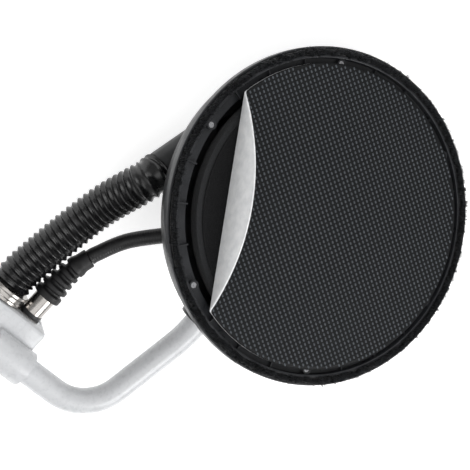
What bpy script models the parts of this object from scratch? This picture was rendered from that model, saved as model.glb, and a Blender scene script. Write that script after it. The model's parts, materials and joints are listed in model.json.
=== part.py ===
"""Long-reach drywall sander with a round, tilting head, lying on its side for a disc change.

Frame: +X from the motor to the head, +Z up, +Y from the drive tube towards the dust tube.
The origin is under the middle of the rest foot, on the surface that the tool lies on.
The head is built in its own frame, the head frame: origin on the tilt axis, Z along the
spindle towards the abrasive, X forwards.
"""
import math

import bmesh
import bpy
from mathutils import Euler, Matrix, Vector

MM = 0.001
GAP = 0.3 * MM               # clearance between pieces that are fixed to each other
RUN_GAP = 0.4 * MM           # clearance between pieces that move on each other

# ---- overall layout ---------------------------------------------------------------------
REACH = 1005.0 * MM          # foot centre to the head's tilt axis, along X
HEAD_OFFSET = 112.5 * MM     # wand's middle plane to the spindle, towards -Y
HEAD_TILT = math.radians(16.0)
TUBE_SPACE = 1.0 * MM        # clear space between the two tubes
FOOT_FLOOR = 2.0 * MM        # rubber under the motor, and so the motor's height
DRIVE_TUBE_R = 11.0 * MM
DRIVE_TUBE_WALL = 2.0 * MM
DUST_TUBE_R = 15.0 * MM
DUST_TUBE_WALL = 2.0 * MM
BRACKET_SETBACK = 193.0 * MM  # tilt axis to the front face of the front bracket

# ---- head, distances along the spindle from the tilt axis ---------------------------------
SHROUD_BACK = 13.0 * MM
SHROUD_WALL = 3.0 * MM
SHROUD_R = 123.5 * MM
SHROUD_CHAMFER = 3.0 * MM
SHROUD_TAPER = 5.0 * MM      # the wall leans in by this much at the back
SHROUD_H = 23.7 * MM
FLANGE_R = 109.0 * MM        # inner edge of the screw flange
SKIRT_BASE_H = 2.0 * MM
SKIRT_R = 124.6 * MM
SKIRT_RIM_H = 7.0 * MM
SKIRT_INNER_RIM_H = 7.5 * MM
SKIRT_INNER_RIM_R = 116.4 * MM
SLOT_R_IN = 118.6 * MM
SLOT_R_OUT = 122.7 * MM
BRISTLE_OVER_RIM = 5.0 * MM
BRISTLE_FLARE = 0.9 * MM
BOSS_COUNT = 6
BOSS_FIRST = math.radians(33.0)
BOSS_CIRCLE_R = 112.9 * MM
BOSS_R = 3.5 * MM
BOSS_H = 5.5 * MM
SCREW_R = 1.5 * MM
SCREW_HEAD_R = 2.1 * MM
SCREW_HEAD_H = 1.5 * MM
SCREW_RECESS = 2.5 * MM

# ---- pad and abrasive ------------------------------------------------------------------------
DUST_CAVITY = 13.2 * MM      # shroud floor to the backing plate
BACKING_R = 102.0 * MM
BACKING_T = 3.5 * MM
FOAM_R = 103.0 * MM
FOAM_T = 10.0 * MM
FOAM_HOLE_R = 9.0 * MM
HOOK_R = 98.0 * MM
HOOK_T = 1.2 * MM
DISC_R = 112.5 * MM
DISC_T = 1.2 * MM
CREASE_DISTANCE = 80.9 * MM  # spindle to the fold of the peeled flap
CREASE_AZIMUTH = math.radians(120.0)
CREASE_GAP = 1.3 * MM        # bare strip on each side of the fold line
FLAP_FOLD = math.radians(98.0)

# ---- gearbox --------------------------------------------------------------------------------
GEARBOX_R = 30.0 * MM
GEARBOX_WALL = 3.2 * MM
GEARBOX_DEPTH = 38.0 * MM
NECK_R = 25.7 * MM
SEAT_FLANGE_R = 34.0 * MM
SEAT_FLANGE_H = 4.7 * MM
BEARING_SEAT_DEPTH = 10.0 * MM
FRONT_BEARING_R = 16.0 * MM
FRONT_BEARING_W = 9.0 * MM
REAR_BEARING_R = 11.0 * MM
REAR_BEARING_W = 7.0 * MM
COVER_T = 3.7 * MM
COVER_BOSS_R = 15.0 * MM
COVER_BACK = 52.0 * MM
COVER_EDGE = 1.0 * MM
SPINDLE_R = 6.0 * MM
SPINDLE_TAIL_R = 5.0 * MM
SPINDLE_FLANGE_R = 14.0 * MM
SPINDLE_FLANGE_H = 3.9 * MM
PAD_SCREW_R = 3.0 * MM
PAD_SCREW_HEAD_R = 7.0 * MM
PAD_SCREW_HEAD_H = 3.0 * MM
PAD_SCREW_LENGTH = 10.0 * MM
GEAR_TEETH = 24
PINION_TEETH = 8
GEAR_PITCH_R = 24.0 * MM
GEAR_APEX_Z = -16.0 * MM
GEAR_INNER_SCALE = 0.6       # toothed face runs from here to the full cone
GEAR_BACK_T = 6.0 * MM
INLET_AZIMUTH = math.radians(138.0)
INLET_R = 13.0 * MM
INLET_WALL = 2.7 * MM
INLET_REACH = 52.0 * MM
PINION_SHAFT_R = 4.0 * MM
PINION_BEARING_W = 8.0 * MM

# ---- gimbal -----------------------------------------------------------------------------------
TILT_PIN_R = 5.0 * MM
TILT_BOSS_R = 11.0 * MM
TILT_BOSS_FACE = 36.0 * MM
TILT_BORE_DEPTH = 6.5 * MM
GIMBAL_T = 6.0 * MM
GIMBAL_HALF_H = 9.0 * MM
GIMBAL_BACK = 58.0 * MM
GIMBAL_PLATE_END_Y = 14.0 * MM
ROLL_STUD_R = 7.0 * MM
ROLL_STUD_LENGTH = 31.0 * MM
ROLL_BUSH_WALL = 1.7 * MM
ROLL_SOCKET_R = 16.0 * MM
ROLL_SOCKET_GAP = 2.0 * MM
ROLL_SOCKET_LENGTH = 48.0 * MM
ROLL_BORE_DEPTH = 29.0 * MM
ARM_CUP_DEPTH = 15.0 * MM

# ---- arm ------------------------------------------------------------------------------------
ARM_R = 10.0 * MM
ARM_WALL = 2.0 * MM
ARM_ROOT_SETBACK = 222.0 * MM  # tilt axis to the arm's root, along X
ARM_KNEE_SETBACK = 131.0 * MM
ARM_KNEE_Y = 20.0 * MM
ARM_ROOT_BEND_R = 38.0 * MM
ARM_KNEE_BEND_R = 80.0 * MM
ARM_BEND_STEPS = 7

# ---- front bracket ------------------------------------------------------------------------------
BRACKET_LENGTH = 46.0 * MM
BRACKET_WALL = 5.0 * MM
BRACKET_EDGE = 4.0 * MM
ARM_WEB = 2.4 * MM           # metal between the drive tube's bore and the arm's bore
ARM_SOCKET_WALL = 4.2 * MM
COLLAR_LENGTH = 9.0 * MM
COLLAR_WALL = 2.4 * MM
FERRULE_R = 8.5 * MM
FERRULE_BORE_R = 5.0 * MM
FERRULE_LENGTH = 49.0 * MM
FERRULE_OUT = 24.0 * MM      # length of the ferrule in front of the bracket
CLIP_T = 3.5 * MM
BOOT_LENGTH = 44.0 * MM
BOOT_FLANGE_T = 5.0 * MM
BOOT_NOSE_R = 7.5 * MM
BOOT_RIBS = 4
BOOT_OVERLAP = 5.0 * MM
BOOT_STRAIGHT = 12.0 * MM
BOOT_STEPS = 5
BOOT_LEAN = math.radians(18.0)  # the boot bends with the sleeve, towards the head

# ---- hose, sleeve and port -------------------------------------------------------------------------
HOSE_R = 15.5 * MM
SLEEVE_R = 6.0 * MM
PORT_R = 14.5 * MM
PORT_WALL = 2.0 * MM
PORT_X = 8.0 * MM
PORT_Y = 88.0 * MM
PORT_DROP = 25.0 * MM        # shroud back to the axis of the port's mouth
PORT_BEND_R = 16.0 * MM
PORT_MOUTH = Vector((-42.0, 104.0)) * MM
PORT_FLANGE_R = 20.0 * MM
PORT_FLANGE_T = 2.5 * MM
FRONT_BOOT_LENGTH = 32.0 * MM
FRONT_BOOT_R = 12.0 * MM
HOSE_SPLIT = 0.5             # share of the hose and sleeve that follows the roll joint
HOSE_BEND_X = (129.0 * MM, 92.0 * MM)  # tilt axis to the hose's two bends, along X
HOSE_BEND_SHARE = (0.2045, 0.4545)     # how much of its way sideways the hose has made at each
SLEEVE_BEND_X = 101.5 * MM
SLEEVE_BEND_SHARE = 0.334
BEND_RISE = 3.0 * MM

# ---- motor end -----------------------------------------------------------------------------------
MOTOR_R = 36.0 * MM
MOTOR_WALL = 3.0 * MM
MOTOR_BACK = -75.0 * MM
MOTOR_SHOULDER = 55.0 * MM
MOTOR_NOSE = 75.0 * MM
MOTOR_NOSE_R = 17.0 * MM
MOTOR_BULKHEAD = 44.0 * MM
MOTOR_BEARING_R = 11.0 * MM
MOTOR_BEARING_W = 8.0 * MM
TUBE_SOCKET_DEPTH = 14.0 * MM
CAP_LENGTH = 23.0 * MM
SHAFT_R = 4.0 * MM
STATOR_R = 29.0 * MM
STATOR_BORE_R = 20.5 * MM
STATOR_FROM = -38.0 * MM
STATOR_TO = 22.0 * MM
ROTOR_R = 19.5 * MM
COMMUTATOR_R = 11.0 * MM
COMMUTATOR_FROM = -58.0 * MM
COMMUTATOR_TO = -46.0 * MM
FAN_R = 29.0 * MM
FAN_HUB_R = 8.0 * MM
FAN_FROM = 27.0 * MM
FAN_W = 10.0 * MM
FAN_BLADES = 10
COUPLING_R = 6.0 * MM
CORE_R = 3.0 * MM
FOOT_LENGTH = 80.0 * MM
FOOT_WIDTH = 88.0 * MM
FOOT_CENTRE_Y = -10.0 * MM
FOOT_H = 9.0 * MM
SWITCH_LENGTH = 22.0 * MM
SWITCH_WIDTH = 10.0 * MM
SWITCH_PIVOT = 34.0 * MM     # motor axis to the rocker's pivot
SWITCH_X = 0.0
DIAL_R = 8.0 * MM
DIAL_H = 8.0 * MM
DIAL_RISE = 17.0 * MM
DIAL_SHAFT_R = 3.0 * MM
CORD_HOLE_R = 5.0 * MM
CORD_HOLE_DROP = 18.0 * MM
VENT_COUNT = 4
VENT_W = 2.4 * MM
VENT_L = 15.0 * MM
VENT_PITCH = 5.0 * MM
DUST_END = 118.0 * MM        # rear end of the dust tube
ELBOW_BEND_R = 26.0 * MM
ELBOW_SOCKET_LENGTH = 11.0 * MM
ELBOW_TAIL = 19.7 * MM
CUFF_LENGTH = 40.0 * MM
CUFF_R = 18.0 * MM
CUFF_BORE_R = 14.5 * MM
CUFF_OVERLAP = 14.0 * MM
REAR_BRACKET_FROM = 126.0 * MM
REAR_BRACKET_LENGTH = 24.0 * MM
GRIP_FROM = 300.0 * MM
GRIP_LENGTH = 220.0 * MM
GRIP_WALL = 5.0 * MM

# ---- facets --------------------------------------------------------------------------------------
FACETS_RIM = 48
FACETS_PAD = 36
FACETS_BODY = 24
FACETS_TUBE = 16
FACETS_BENT = 12
FACETS_SMALL = 8

# ---- derived places --------------------------------------------------------------------------------
TUBE_PITCH = DRIVE_TUBE_R + DUST_TUBE_R + TUBE_SPACE
TUBE_Z = MOTOR_R + FOOT_FLOOR
DRIVE_Y = -TUBE_PITCH / 2
DUST_Y = TUBE_PITCH / 2
SHROUD_FLOOR = SHROUD_BACK + SHROUD_WALL
SHROUD_TOP = SHROUD_BACK + SHROUD_H
SKIRT_BASE = SHROUD_TOP + GAP
SLOT_FLOOR = SKIRT_BASE + SKIRT_BASE_H
RIM_TOP = SKIRT_BASE + SKIRT_RIM_H
INNER_RIM_TOP = SKIRT_BASE + SKIRT_INNER_RIM_H
BRISTLE_TIP = RIM_TOP + BRISTLE_OVER_RIM
BACKING_Z = SHROUD_FLOOR + DUST_CAVITY
FOAM_Z = BACKING_Z + BACKING_T + GAP
HOOK_Z = FOAM_Z + FOAM_T + GAP
DISC_Z = HOOK_Z + HOOK_T + GAP
COVER_Z = -GEARBOX_DEPTH - GAP
PIVOT_Z = max(
    COVER_BACK * math.cos(HEAD_TILT) + (COVER_BOSS_R - COVER_EDGE) * math.sin(HEAD_TILT),
    (COVER_BACK - COVER_EDGE) * math.cos(HEAD_TILT) + COVER_BOSS_R * math.sin(HEAD_TILT),
)
PIVOT = Vector((REACH, -HEAD_OFFSET, PIVOT_Z))
BRACKET_FRONT = REACH - BRACKET_SETBACK
BRACKET_REAR = BRACKET_FRONT - BRACKET_LENGTH
ARM_ROOT_X = REACH - ARM_ROOT_SETBACK
ARM_ROOT_Z = TUBE_Z + DRIVE_TUBE_R + GAP + ARM_WEB + ARM_R + GAP
ARM_ROOT_Y = DUST_Y - DUST_TUBE_R - 2 * GAP - ARM_WEB / 2
SOCKET_FRONT_X = REACH - GIMBAL_BACK - GIMBAL_T - ROLL_SOCKET_GAP
SOCKET_REAR_X = SOCKET_FRONT_X - ROLL_SOCKET_LENGTH
FERRULE_FRONT = BRACKET_FRONT + FERRULE_OUT
FERRULE_REAR = FERRULE_FRONT - FERRULE_LENGTH
BOOT_REAR = FERRULE_FRONT - BOOT_OVERLAP
COLLAR_REAR = BRACKET_FRONT + GAP
COLLAR_FRONT = COLLAR_REAR + COLLAR_LENGTH
COLLAR_R = DUST_TUBE_R + GAP + COLLAR_WALL
CLIP_R = TUBE_PITCH - COLLAR_R - GAP
BOOT_FLANGE_R = TUBE_PITCH - HOSE_R - GAP
ELBOW_SOCKET_R = TUBE_PITCH - DRIVE_TUBE_R - GAP
INLET_DIR = Vector((math.cos(INLET_AZIMUTH), math.sin(INLET_AZIMUTH), 0.0))
MATERIALS = {}


# ---- making meshes ---------------------------------------------------------------------------------
def material(name, colour, roughness, metallic=0.0):
    """One Principled material for each finish, shared by the pieces that have it."""
    if name not in MATERIALS:
        made = bpy.data.materials.new(name)
        made.use_nodes = True
        shader = made.node_tree.nodes["Principled BSDF"]
        shader.inputs["Base Color"].default_value = (*colour, 1.0)
        shader.inputs["Roughness"].default_value = roughness
        shader.inputs["Metallic"].default_value = metallic
        MATERIALS[name] = made
    return MATERIALS[name]


def black_plastic():
    return material("black_plastic", (0.018, 0.019, 0.021), 0.42)


def black_rubber():
    return material("black_rubber", (0.012, 0.012, 0.013), 0.6)


def white_paint():
    return material("white_paint", (0.78, 0.79, 0.80), 0.35)


def steel():
    return material("steel", (0.56, 0.56, 0.57), 0.28, 1.0)


def chrome():
    return material("chrome", (0.7, 0.7, 0.71), 0.12, 1.0)


def frame(name, location=(0, 0, 0), rotation=(0, 0, 0), parent=None):
    """An empty that carries pieces: its axes are the frame that they are modelled in."""
    empty = bpy.data.objects.new(name, None)
    bpy.context.collection.objects.link(empty)
    empty.location = location
    empty.rotation_euler = rotation
    empty.parent = parent
    return empty


def axes_rotation(x_axis, z_axis):
    """Rotation of a frame whose X and Z point along the two given directions."""
    y_axis = z_axis.cross(x_axis)
    return Matrix((x_axis, y_axis, z_axis)).transposed().to_euler()


def piece(name, verts, faces, finish, parent=None):
    """A closed mesh as a named object, faces out, smooth between faces that meet gently."""
    mesh = bpy.data.meshes.new(name)
    mesh.from_pydata([tuple(v) for v in verts], [], faces)
    work = bmesh.new()
    work.from_mesh(mesh)
    bmesh.ops.recalc_face_normals(work, faces=work.faces)
    work.to_mesh(mesh)
    work.free()
    mesh.shade_smooth()
    mesh.set_sharp_from_angle(angle=math.radians(35.0))
    mesh.materials.append(finish)
    made = bpy.data.objects.new(name, mesh)
    bpy.context.collection.objects.link(made)
    made.parent = parent
    return made


def ring_faces(first, second, count):
    return [
        (first + i, first + (i + 1) % count, second + (i + 1) % count, second + i)
        for i in range(count)
    ]


def loops_to_mesh(loops, closed):
    """Bridge equal loops of points; the chain of loops is closed, or capped at both ends."""
    count = len(loops[0])
    verts = [point for loop in loops for point in loop]
    faces = []
    for index in range(len(loops) if closed else len(loops) - 1):
        faces += ring_faces(index * count, (index + 1) % len(loops) * count, count)
    if not closed:
        last = (len(loops) - 1) * count
        faces += [tuple(reversed(range(count))), tuple(range(last, last + count))]
    return verts, faces


def turned(name, profile, finish, parent=None, facets=FACETS_BODY):
    """Turn a profile of (radius, height) points about Z: a ring, or a solid from pole to pole."""
    solid = profile[0][0] == 0 and profile[-1][0] == 0
    stations = profile[1:-1] if solid else profile
    turns = [2 * math.pi * i / facets for i in range(facets)]
    loops = [[(r * math.cos(a), r * math.sin(a), z) for a in turns] for r, z in stations]
    verts, faces = loops_to_mesh(loops, closed=not solid)
    return piece(name, verts, faces, finish, parent)


def tube_profile(outer_r, inner_r, low, high):
    return [(outer_r, low), (outer_r, high), (inner_r, high), (inner_r, low)]


def rod_profile(radius, low, high):
    return [(0, low), (radius, low), (radius, high), (0, high)]


def extruded(name, outline, low, high, finish, parent=None):
    """A prism: the outline in the XY plane, from one height to another."""
    loops = [[(x, y, low) for x, y in outline], [(x, y, high) for x, y in outline]]
    verts, faces = loops_to_mesh(loops, closed=False)
    return piece(name, verts, faces, finish, parent)


def block_shape(low, high):
    """Points and faces of a box between two corners."""
    corners = [(low[0], low[1]), (high[0], low[1]), (high[0], high[1]), (low[0], high[1])]
    return loops_to_mesh([[(x, y, z) for x, y in corners] for z in (low[2], high[2])], closed=False)


def rod_shape(start, end, radius, facets=FACETS_TUBE):
    """Points and faces of a plain round bar."""
    return swept([(Vector(start), radius), (Vector(end), radius)], facets, closed=False)


def joined(name, shapes, finish, parent=None):
    """One object of several shapes that don't touch, for a tool that cuts a pattern."""
    verts, faces = [], []
    for new_verts, new_faces in shapes:
        faces += [tuple(i + len(verts) for i in face) for face in new_faces]
        verts += new_verts
    return piece(name, verts, faces, finish, parent)


def block(name, low, high, finish, parent=None, edge=0.0):
    """A box between two corners, with its edges rounded by a bevel where edge is given."""
    made = joined(name, [block_shape(low, high)], finish, parent)
    if edge:
        bevel = made.modifiers.new("rounded_edges", "BEVEL")
        bevel.width = edge
        bevel.segments = 2
        bevel.limit_method = "NONE"
    return made


def rod(name, start, end, radius, finish, parent=None, facets=FACETS_TUBE):
    return joined(name, [rod_shape(start, end, radius, facets)], finish, parent)


def swept(stations, facets, closed):
    """Rings across a path of (point, radius) stations, turning with it and never twisting."""
    points = [point for point, _ in stations]
    loops = []
    side = None
    for index, (point, radius) in enumerate(stations):
        ahead = next((p for p in points[index + 1:] if (p - point).length > GAP / 10), None)
        behind = next((p for p in reversed(points[:index]) if (point - p).length > GAP / 10), None)
        along = Vector((0, 0, 0))
        if ahead is not None:
            along += (ahead - point).normalized()
        if behind is not None:
            along += (point - behind).normalized()
        along.normalize()
        if side is None:
            reference = Vector((0, 0, 1)) if abs(along.z) < 0.8 else Vector((0, 1, 0))
            side = along.cross(reference)
        side = (side - along * side.dot(along)).normalized()
        other = along.cross(side)
        turns = [2 * math.pi * i / facets for i in range(facets)]
        loops.append([point + radius * (math.cos(a) * side + math.sin(a) * other) for a in turns])
    return loops_to_mesh(loops, closed)


def hollow_sweep(name, outer, inner, finish, parent=None, facets=FACETS_TUBE):
    """A pipe with open ends: outer stations from end to end, and inner ones along the same path."""
    outer_verts, _ = swept(outer, facets, closed=False)
    inner_verts, _ = swept(inner, facets, closed=False)
    outer_loops = [outer_verts[i:i + facets] for i in range(0, len(outer_verts), facets)]
    inner_loops = [inner_verts[i:i + facets] for i in range(0, len(inner_verts), facets)]
    verts, faces = loops_to_mesh(outer_loops + inner_loops[::-1], closed=True)
    return piece(name, verts, faces, finish, parent)


def boolean(target, tool, operation):
    """Cut the target with the tool, or weld the tool to it, and take the tool out of view."""
    modifier = target.modifiers.new(tool.name, "BOOLEAN")
    modifier.operation = operation
    modifier.solver = "EXACT"
    modifier.object = tool
    tool.hide_render = True
    tool.display_type = "WIRE"


def cut(target, *tools):
    for tool in tools:
        boolean(target, tool, "DIFFERENCE")


def weld(target, *tools):
    for tool in tools:
        boolean(target, tool, "UNION")


def filleted_path(corners, radii, steps):
    """Points along straight runs with a round bend at each inner corner."""
    path = [corners[0]]
    for before, corner, after, radius in zip(corners, corners[1:], corners[2:], radii):
        back = (before - corner).normalized()
        ahead = (after - corner).normalized()
        half = back.angle(ahead) / 2
        centre = corner + (back + ahead).normalized() * radius / math.sin(half)
        first = corner + back * radius / math.tan(half) - centre
        last = corner + ahead * radius / math.tan(half) - centre
        swing = first.angle(last)
        for step in range(steps + 1):
            share = step / steps
            arm = first * math.sin((1 - share) * swing) + last * math.sin(share * swing)
            path.append(centre + arm / math.sin(swing))
    path.append(corners[-1])
    return path


def smooth_curve(knots, samples):
    """Even points along a smooth curve through the knots."""
    ends = [2 * knots[0] - knots[1], *knots, 2 * knots[-1] - knots[-2]]
    dense = []
    for p0, p1, p2, p3 in zip(ends, ends[1:], ends[2:], ends[3:]):
        for step in range(20):
            t = step / 20
            dense.append(0.5 * (
                2 * p1 + (p2 - p0) * t + (2 * p0 - 5 * p1 + 4 * p2 - p3) * t * t
                + (3 * p1 - p0 - 3 * p2 + p3) * t ** 3
            ))
    dense.append(knots[-1])
    lengths = [0.0]
    for a, b in zip(dense, dense[1:]):
        lengths.append(lengths[-1] + (b - a).length)
    points = []
    for index in range(samples):
        target = lengths[-1] * index / (samples - 1)
        at = next(i for i, length in enumerate(lengths) if length >= target - GAP / 1000)
        if at == 0:
            points.append(dense[0])
            continue
        share = (target - lengths[at - 1]) / (lengths[at] - lengths[at - 1])
        points.append(dense[at - 1].lerp(dense[at], share))
    return points


def on_circle(radius, angle):
    return Vector((radius * math.cos(angle), radius * math.sin(angle), 0.0))


def bearing(name, outer_r, inner_r, low, width, parent):
    return turned(name, tube_profile(outer_r, inner_r, low, low + width), steel(), parent, FACETS_TUBE)


# ---- head: shroud and brush skirt --------------------------------------------------------------------
def make_shroud(head):
    back_r = SHROUD_R - SHROUD_TAPER
    shroud = turned("shroud", [
        (NECK_R + GAP, SHROUD_BACK),
        (back_r - SHROUD_CHAMFER, SHROUD_BACK),
        (back_r, SHROUD_BACK + SHROUD_CHAMFER),
        (SHROUD_R, SHROUD_TOP),
        (FLANGE_R, SHROUD_TOP),
        (FLANGE_R, SHROUD_TOP - SHROUD_WALL),
        (SHROUD_R - SHROUD_WALL, SHROUD_TOP - SHROUD_WALL),
        (back_r - SHROUD_WALL, SHROUD_FLOOR + SHROUD_CHAMFER / 2),
        (back_r - SHROUD_WALL - SHROUD_CHAMFER / 2, SHROUD_FLOOR),
        (NECK_R + GAP, SHROUD_FLOOR),
    ], black_plastic(), head, FACETS_RIM)
    port = Vector((PORT_X, PORT_Y, 0))
    cut(shroud, rod(
        "shroud_port_hole", port + Vector((0, 0, SHROUD_BACK - SHROUD_WALL)),
        port + Vector((0, 0, SHROUD_FLOOR + SHROUD_WALL)), PORT_R - PORT_WALL, black_plastic(), head,
    ))
    cut(shroud, screw_hole_tool("shroud_screw_holes", SHROUD_TOP - 2 * SHROUD_WALL,
                                SHROUD_TOP + SHROUD_WALL, head))


def boss_angles():
    return [BOSS_FIRST + 2 * math.pi * i / BOSS_COUNT for i in range(BOSS_COUNT)]


def cylinders_on_bosses(name, radius, low, high, parent):
    """One object with a plain cylinder on each screw boss's axis."""
    centres = [on_circle(BOSS_CIRCLE_R, angle) for angle in boss_angles()]
    shapes = [rod_shape(centre + Vector((0, 0, low)), centre + Vector((0, 0, high)), radius, FACETS_SMALL)
              for centre in centres]
    return joined(name, shapes, black_plastic(), parent)


def screw_hole_tool(name, low, high, parent):
    return cylinders_on_bosses(name, SCREW_R + GAP, low, high, parent)


def make_skirt(head):
    ring = turned("skirt_ring", [
        (FLANGE_R, SKIRT_BASE),
        (SKIRT_R, SKIRT_BASE),
        (SKIRT_R, RIM_TOP),
        (SLOT_R_OUT, RIM_TOP),
        (SLOT_R_OUT, SLOT_FLOOR),
        (SLOT_R_IN, SLOT_FLOOR),
        (SLOT_R_IN, INNER_RIM_TOP),
        (SKIRT_INNER_RIM_R, INNER_RIM_TOP),
        (SKIRT_INNER_RIM_R, SLOT_FLOOR),
        (FLANGE_R, SLOT_FLOOR),
    ], black_plastic(), head, FACETS_RIM)
    boss_top = SKIRT_BASE + BOSS_H
    recess = boss_top - SCREW_RECESS
    weld(ring, cylinders_on_bosses(
        "skirt_bosses", BOSS_R, SKIRT_BASE + SKIRT_BASE_H / 2, boss_top, head))
    cut(ring, cylinders_on_bosses(
        "skirt_screw_recesses", SCREW_HEAD_R + GAP, recess, boss_top + BOSS_R, head))
    cut(ring, screw_hole_tool("skirt_screw_holes", SKIRT_BASE - BOSS_R, recess + BOSS_R / 2, head))
    turned("bristle_ring", [
        (SLOT_R_IN + GAP, SLOT_FLOOR + GAP),
        (SLOT_R_OUT - GAP, SLOT_FLOOR + GAP),
        (SLOT_R_OUT - GAP, RIM_TOP + GAP),
        (SLOT_R_OUT + BRISTLE_FLARE, BRISTLE_TIP),
        (SLOT_R_IN - GAP, BRISTLE_TIP),
        (SLOT_R_IN + GAP, INNER_RIM_TOP),
    ], material("bristle", (0.012, 0.012, 0.013), 0.5), head, FACETS_RIM)
    for number, angle in enumerate(boss_angles(), start=1):
        seat = recess + GAP
        screw = turned(f"skirt_screw_{number}", [
            (0, SHROUD_TOP - 1.5 * SHROUD_WALL),
            (SCREW_R, SHROUD_TOP - 1.5 * SHROUD_WALL),
            (SCREW_R, seat),
            (SCREW_HEAD_R, seat),
            (SCREW_HEAD_R, seat + SCREW_HEAD_H),
            (0, seat + SCREW_HEAD_H),
        ], steel(), head, FACETS_SMALL)
        screw.location = on_circle(BOSS_CIRCLE_R, angle)


# ---- head: gearbox -------------------------------------------------------------------------------------
def make_gearbox(head):
    cavity = GEARBOX_R - GEARBOX_WALL
    flange_top = SHROUD_BACK - GAP
    seat_floor = SHROUD_FLOOR - BEARING_SEAT_DEPTH
    housing = turned("gearbox_housing", [
        (NECK_R, SHROUD_FLOOR),
        (NECK_R, flange_top),
        (SEAT_FLANGE_R, flange_top),
        (SEAT_FLANGE_R, flange_top - SEAT_FLANGE_H),
        (GEARBOX_R, flange_top - SEAT_FLANGE_H - GEARBOX_WALL),
        (GEARBOX_R, -GEARBOX_DEPTH),
        (cavity, -GEARBOX_DEPTH),
        (cavity, seat_floor - GEARBOX_WALL),
        (FRONT_BEARING_R - GEARBOX_WALL, seat_floor - GEARBOX_WALL),
        (FRONT_BEARING_R - GEARBOX_WALL, seat_floor),
        (FRONT_BEARING_R + GAP, seat_floor),
        (FRONT_BEARING_R + GAP, SHROUD_FLOOR),
    ], white_paint(), head)
    inlet_axis = Vector((0, 0, GEAR_APEX_Z))
    inlet_bore = INLET_R - INLET_WALL
    weld(housing, rod("inlet_boss", inlet_axis + INLET_DIR * (cavity + GEARBOX_WALL / 3),
                      inlet_axis + INLET_DIR * INLET_REACH, INLET_R, white_paint(), head))
    cut(housing, rod("inlet_bore", inlet_axis + INLET_DIR * (cavity - INLET_R),
                     inlet_axis + INLET_DIR * (INLET_REACH + GEARBOX_WALL), inlet_bore,
                     white_paint(), head))
    weld(housing, rod("tilt_boss", (0, -cavity - GEARBOX_WALL / 3, 0), (0, -TILT_BOSS_FACE, 0),
                      TILT_BOSS_R, white_paint(), head))
    cut(housing, rod("tilt_bore", (0, -TILT_BOSS_FACE + TILT_BORE_DEPTH, 0),
                     (0, -TILT_BOSS_FACE - GEARBOX_WALL, 0), TILT_PIN_R + RUN_GAP,
                     white_paint(), head))
    rear_seat = COVER_BACK - (COVER_BOSS_R - REAR_BEARING_R) / 1.6
    turned("gearbox_cover", [
        (0, -COVER_BACK),
        (COVER_BOSS_R - COVER_EDGE, -COVER_BACK),
        (COVER_BOSS_R, -COVER_BACK + COVER_EDGE),
        (COVER_BOSS_R, COVER_Z - COVER_T),
        (GEARBOX_R, COVER_Z - COVER_T),
        (GEARBOX_R, COVER_Z),
        (REAR_BEARING_R + GAP, COVER_Z),
        (REAR_BEARING_R + GAP, -rear_seat),
        (0, -rear_seat),
    ], white_paint(), head)
    bearing("spindle_bearing_front", FRONT_BEARING_R, SPINDLE_R + GAP, seat_floor + GAP,
            FRONT_BEARING_W, head)
    bearing("spindle_bearing_rear", REAR_BEARING_R, SPINDLE_TAIL_R + GAP, -rear_seat + GAP,
            REAR_BEARING_W, head)
    return seat_floor, rear_seat


def bevel_loops(teeth, pitch_r, pitch_h, scale, addendum, dedendum, turn):
    """One toothed loop of a bevel gear: four points a tooth, at a share of the full cone."""
    slant = math.hypot(pitch_r, pitch_h)
    out = (pitch_h / slant, -pitch_r / slant)
    tip = ((pitch_r + addendum * out[0]) * scale, (pitch_h + addendum * out[1]) * scale)
    root = ((pitch_r - dedendum * out[0]) * scale, (pitch_h - dedendum * out[1]) * scale)
    pitch_angle = 2 * math.pi / teeth
    loop = []
    for tooth in range(teeth):
        middle = turn + tooth * pitch_angle
        for share, (radius, height) in ((-0.27, root), (-0.11, tip), (0.11, tip), (0.27, root)):
            angle = middle + share * pitch_angle
            loop.append((radius * math.cos(angle), radius * math.sin(angle), height))
    return loop


def bevel_angles(teeth, turn):
    pitch_angle = 2 * math.pi / teeth
    return [turn + (tooth + share) * pitch_angle for tooth in range(teeth)
            for share in (-0.27, -0.11, 0.11, 0.27)]


def bevel_gear(name, teeth, pitch_r, pitch_h, front, back, closed, turn, finish, parent):
    """A bevel gear with its cone's point at the origin and its axis along Z.

    front and back are plain rings of (radius, height) before and after the toothed loops.
    """
    module = 2 * pitch_r / teeth
    angles = bevel_angles(teeth, turn)

    def plain(radius, height):
        return [(radius * math.cos(a), radius * math.sin(a), height) for a in angles]

    toothed = [bevel_loops(teeth, pitch_r, pitch_h, scale, 0.75 * module, 1.1 * module, turn)
               for scale in (GEAR_INNER_SCALE, 1.0)]
    loops = [plain(*ring) for ring in front] + toothed + [plain(*ring) for ring in back]
    verts, faces = loops_to_mesh(loops, closed)
    return piece(name, verts, faces, finish, parent)


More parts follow.
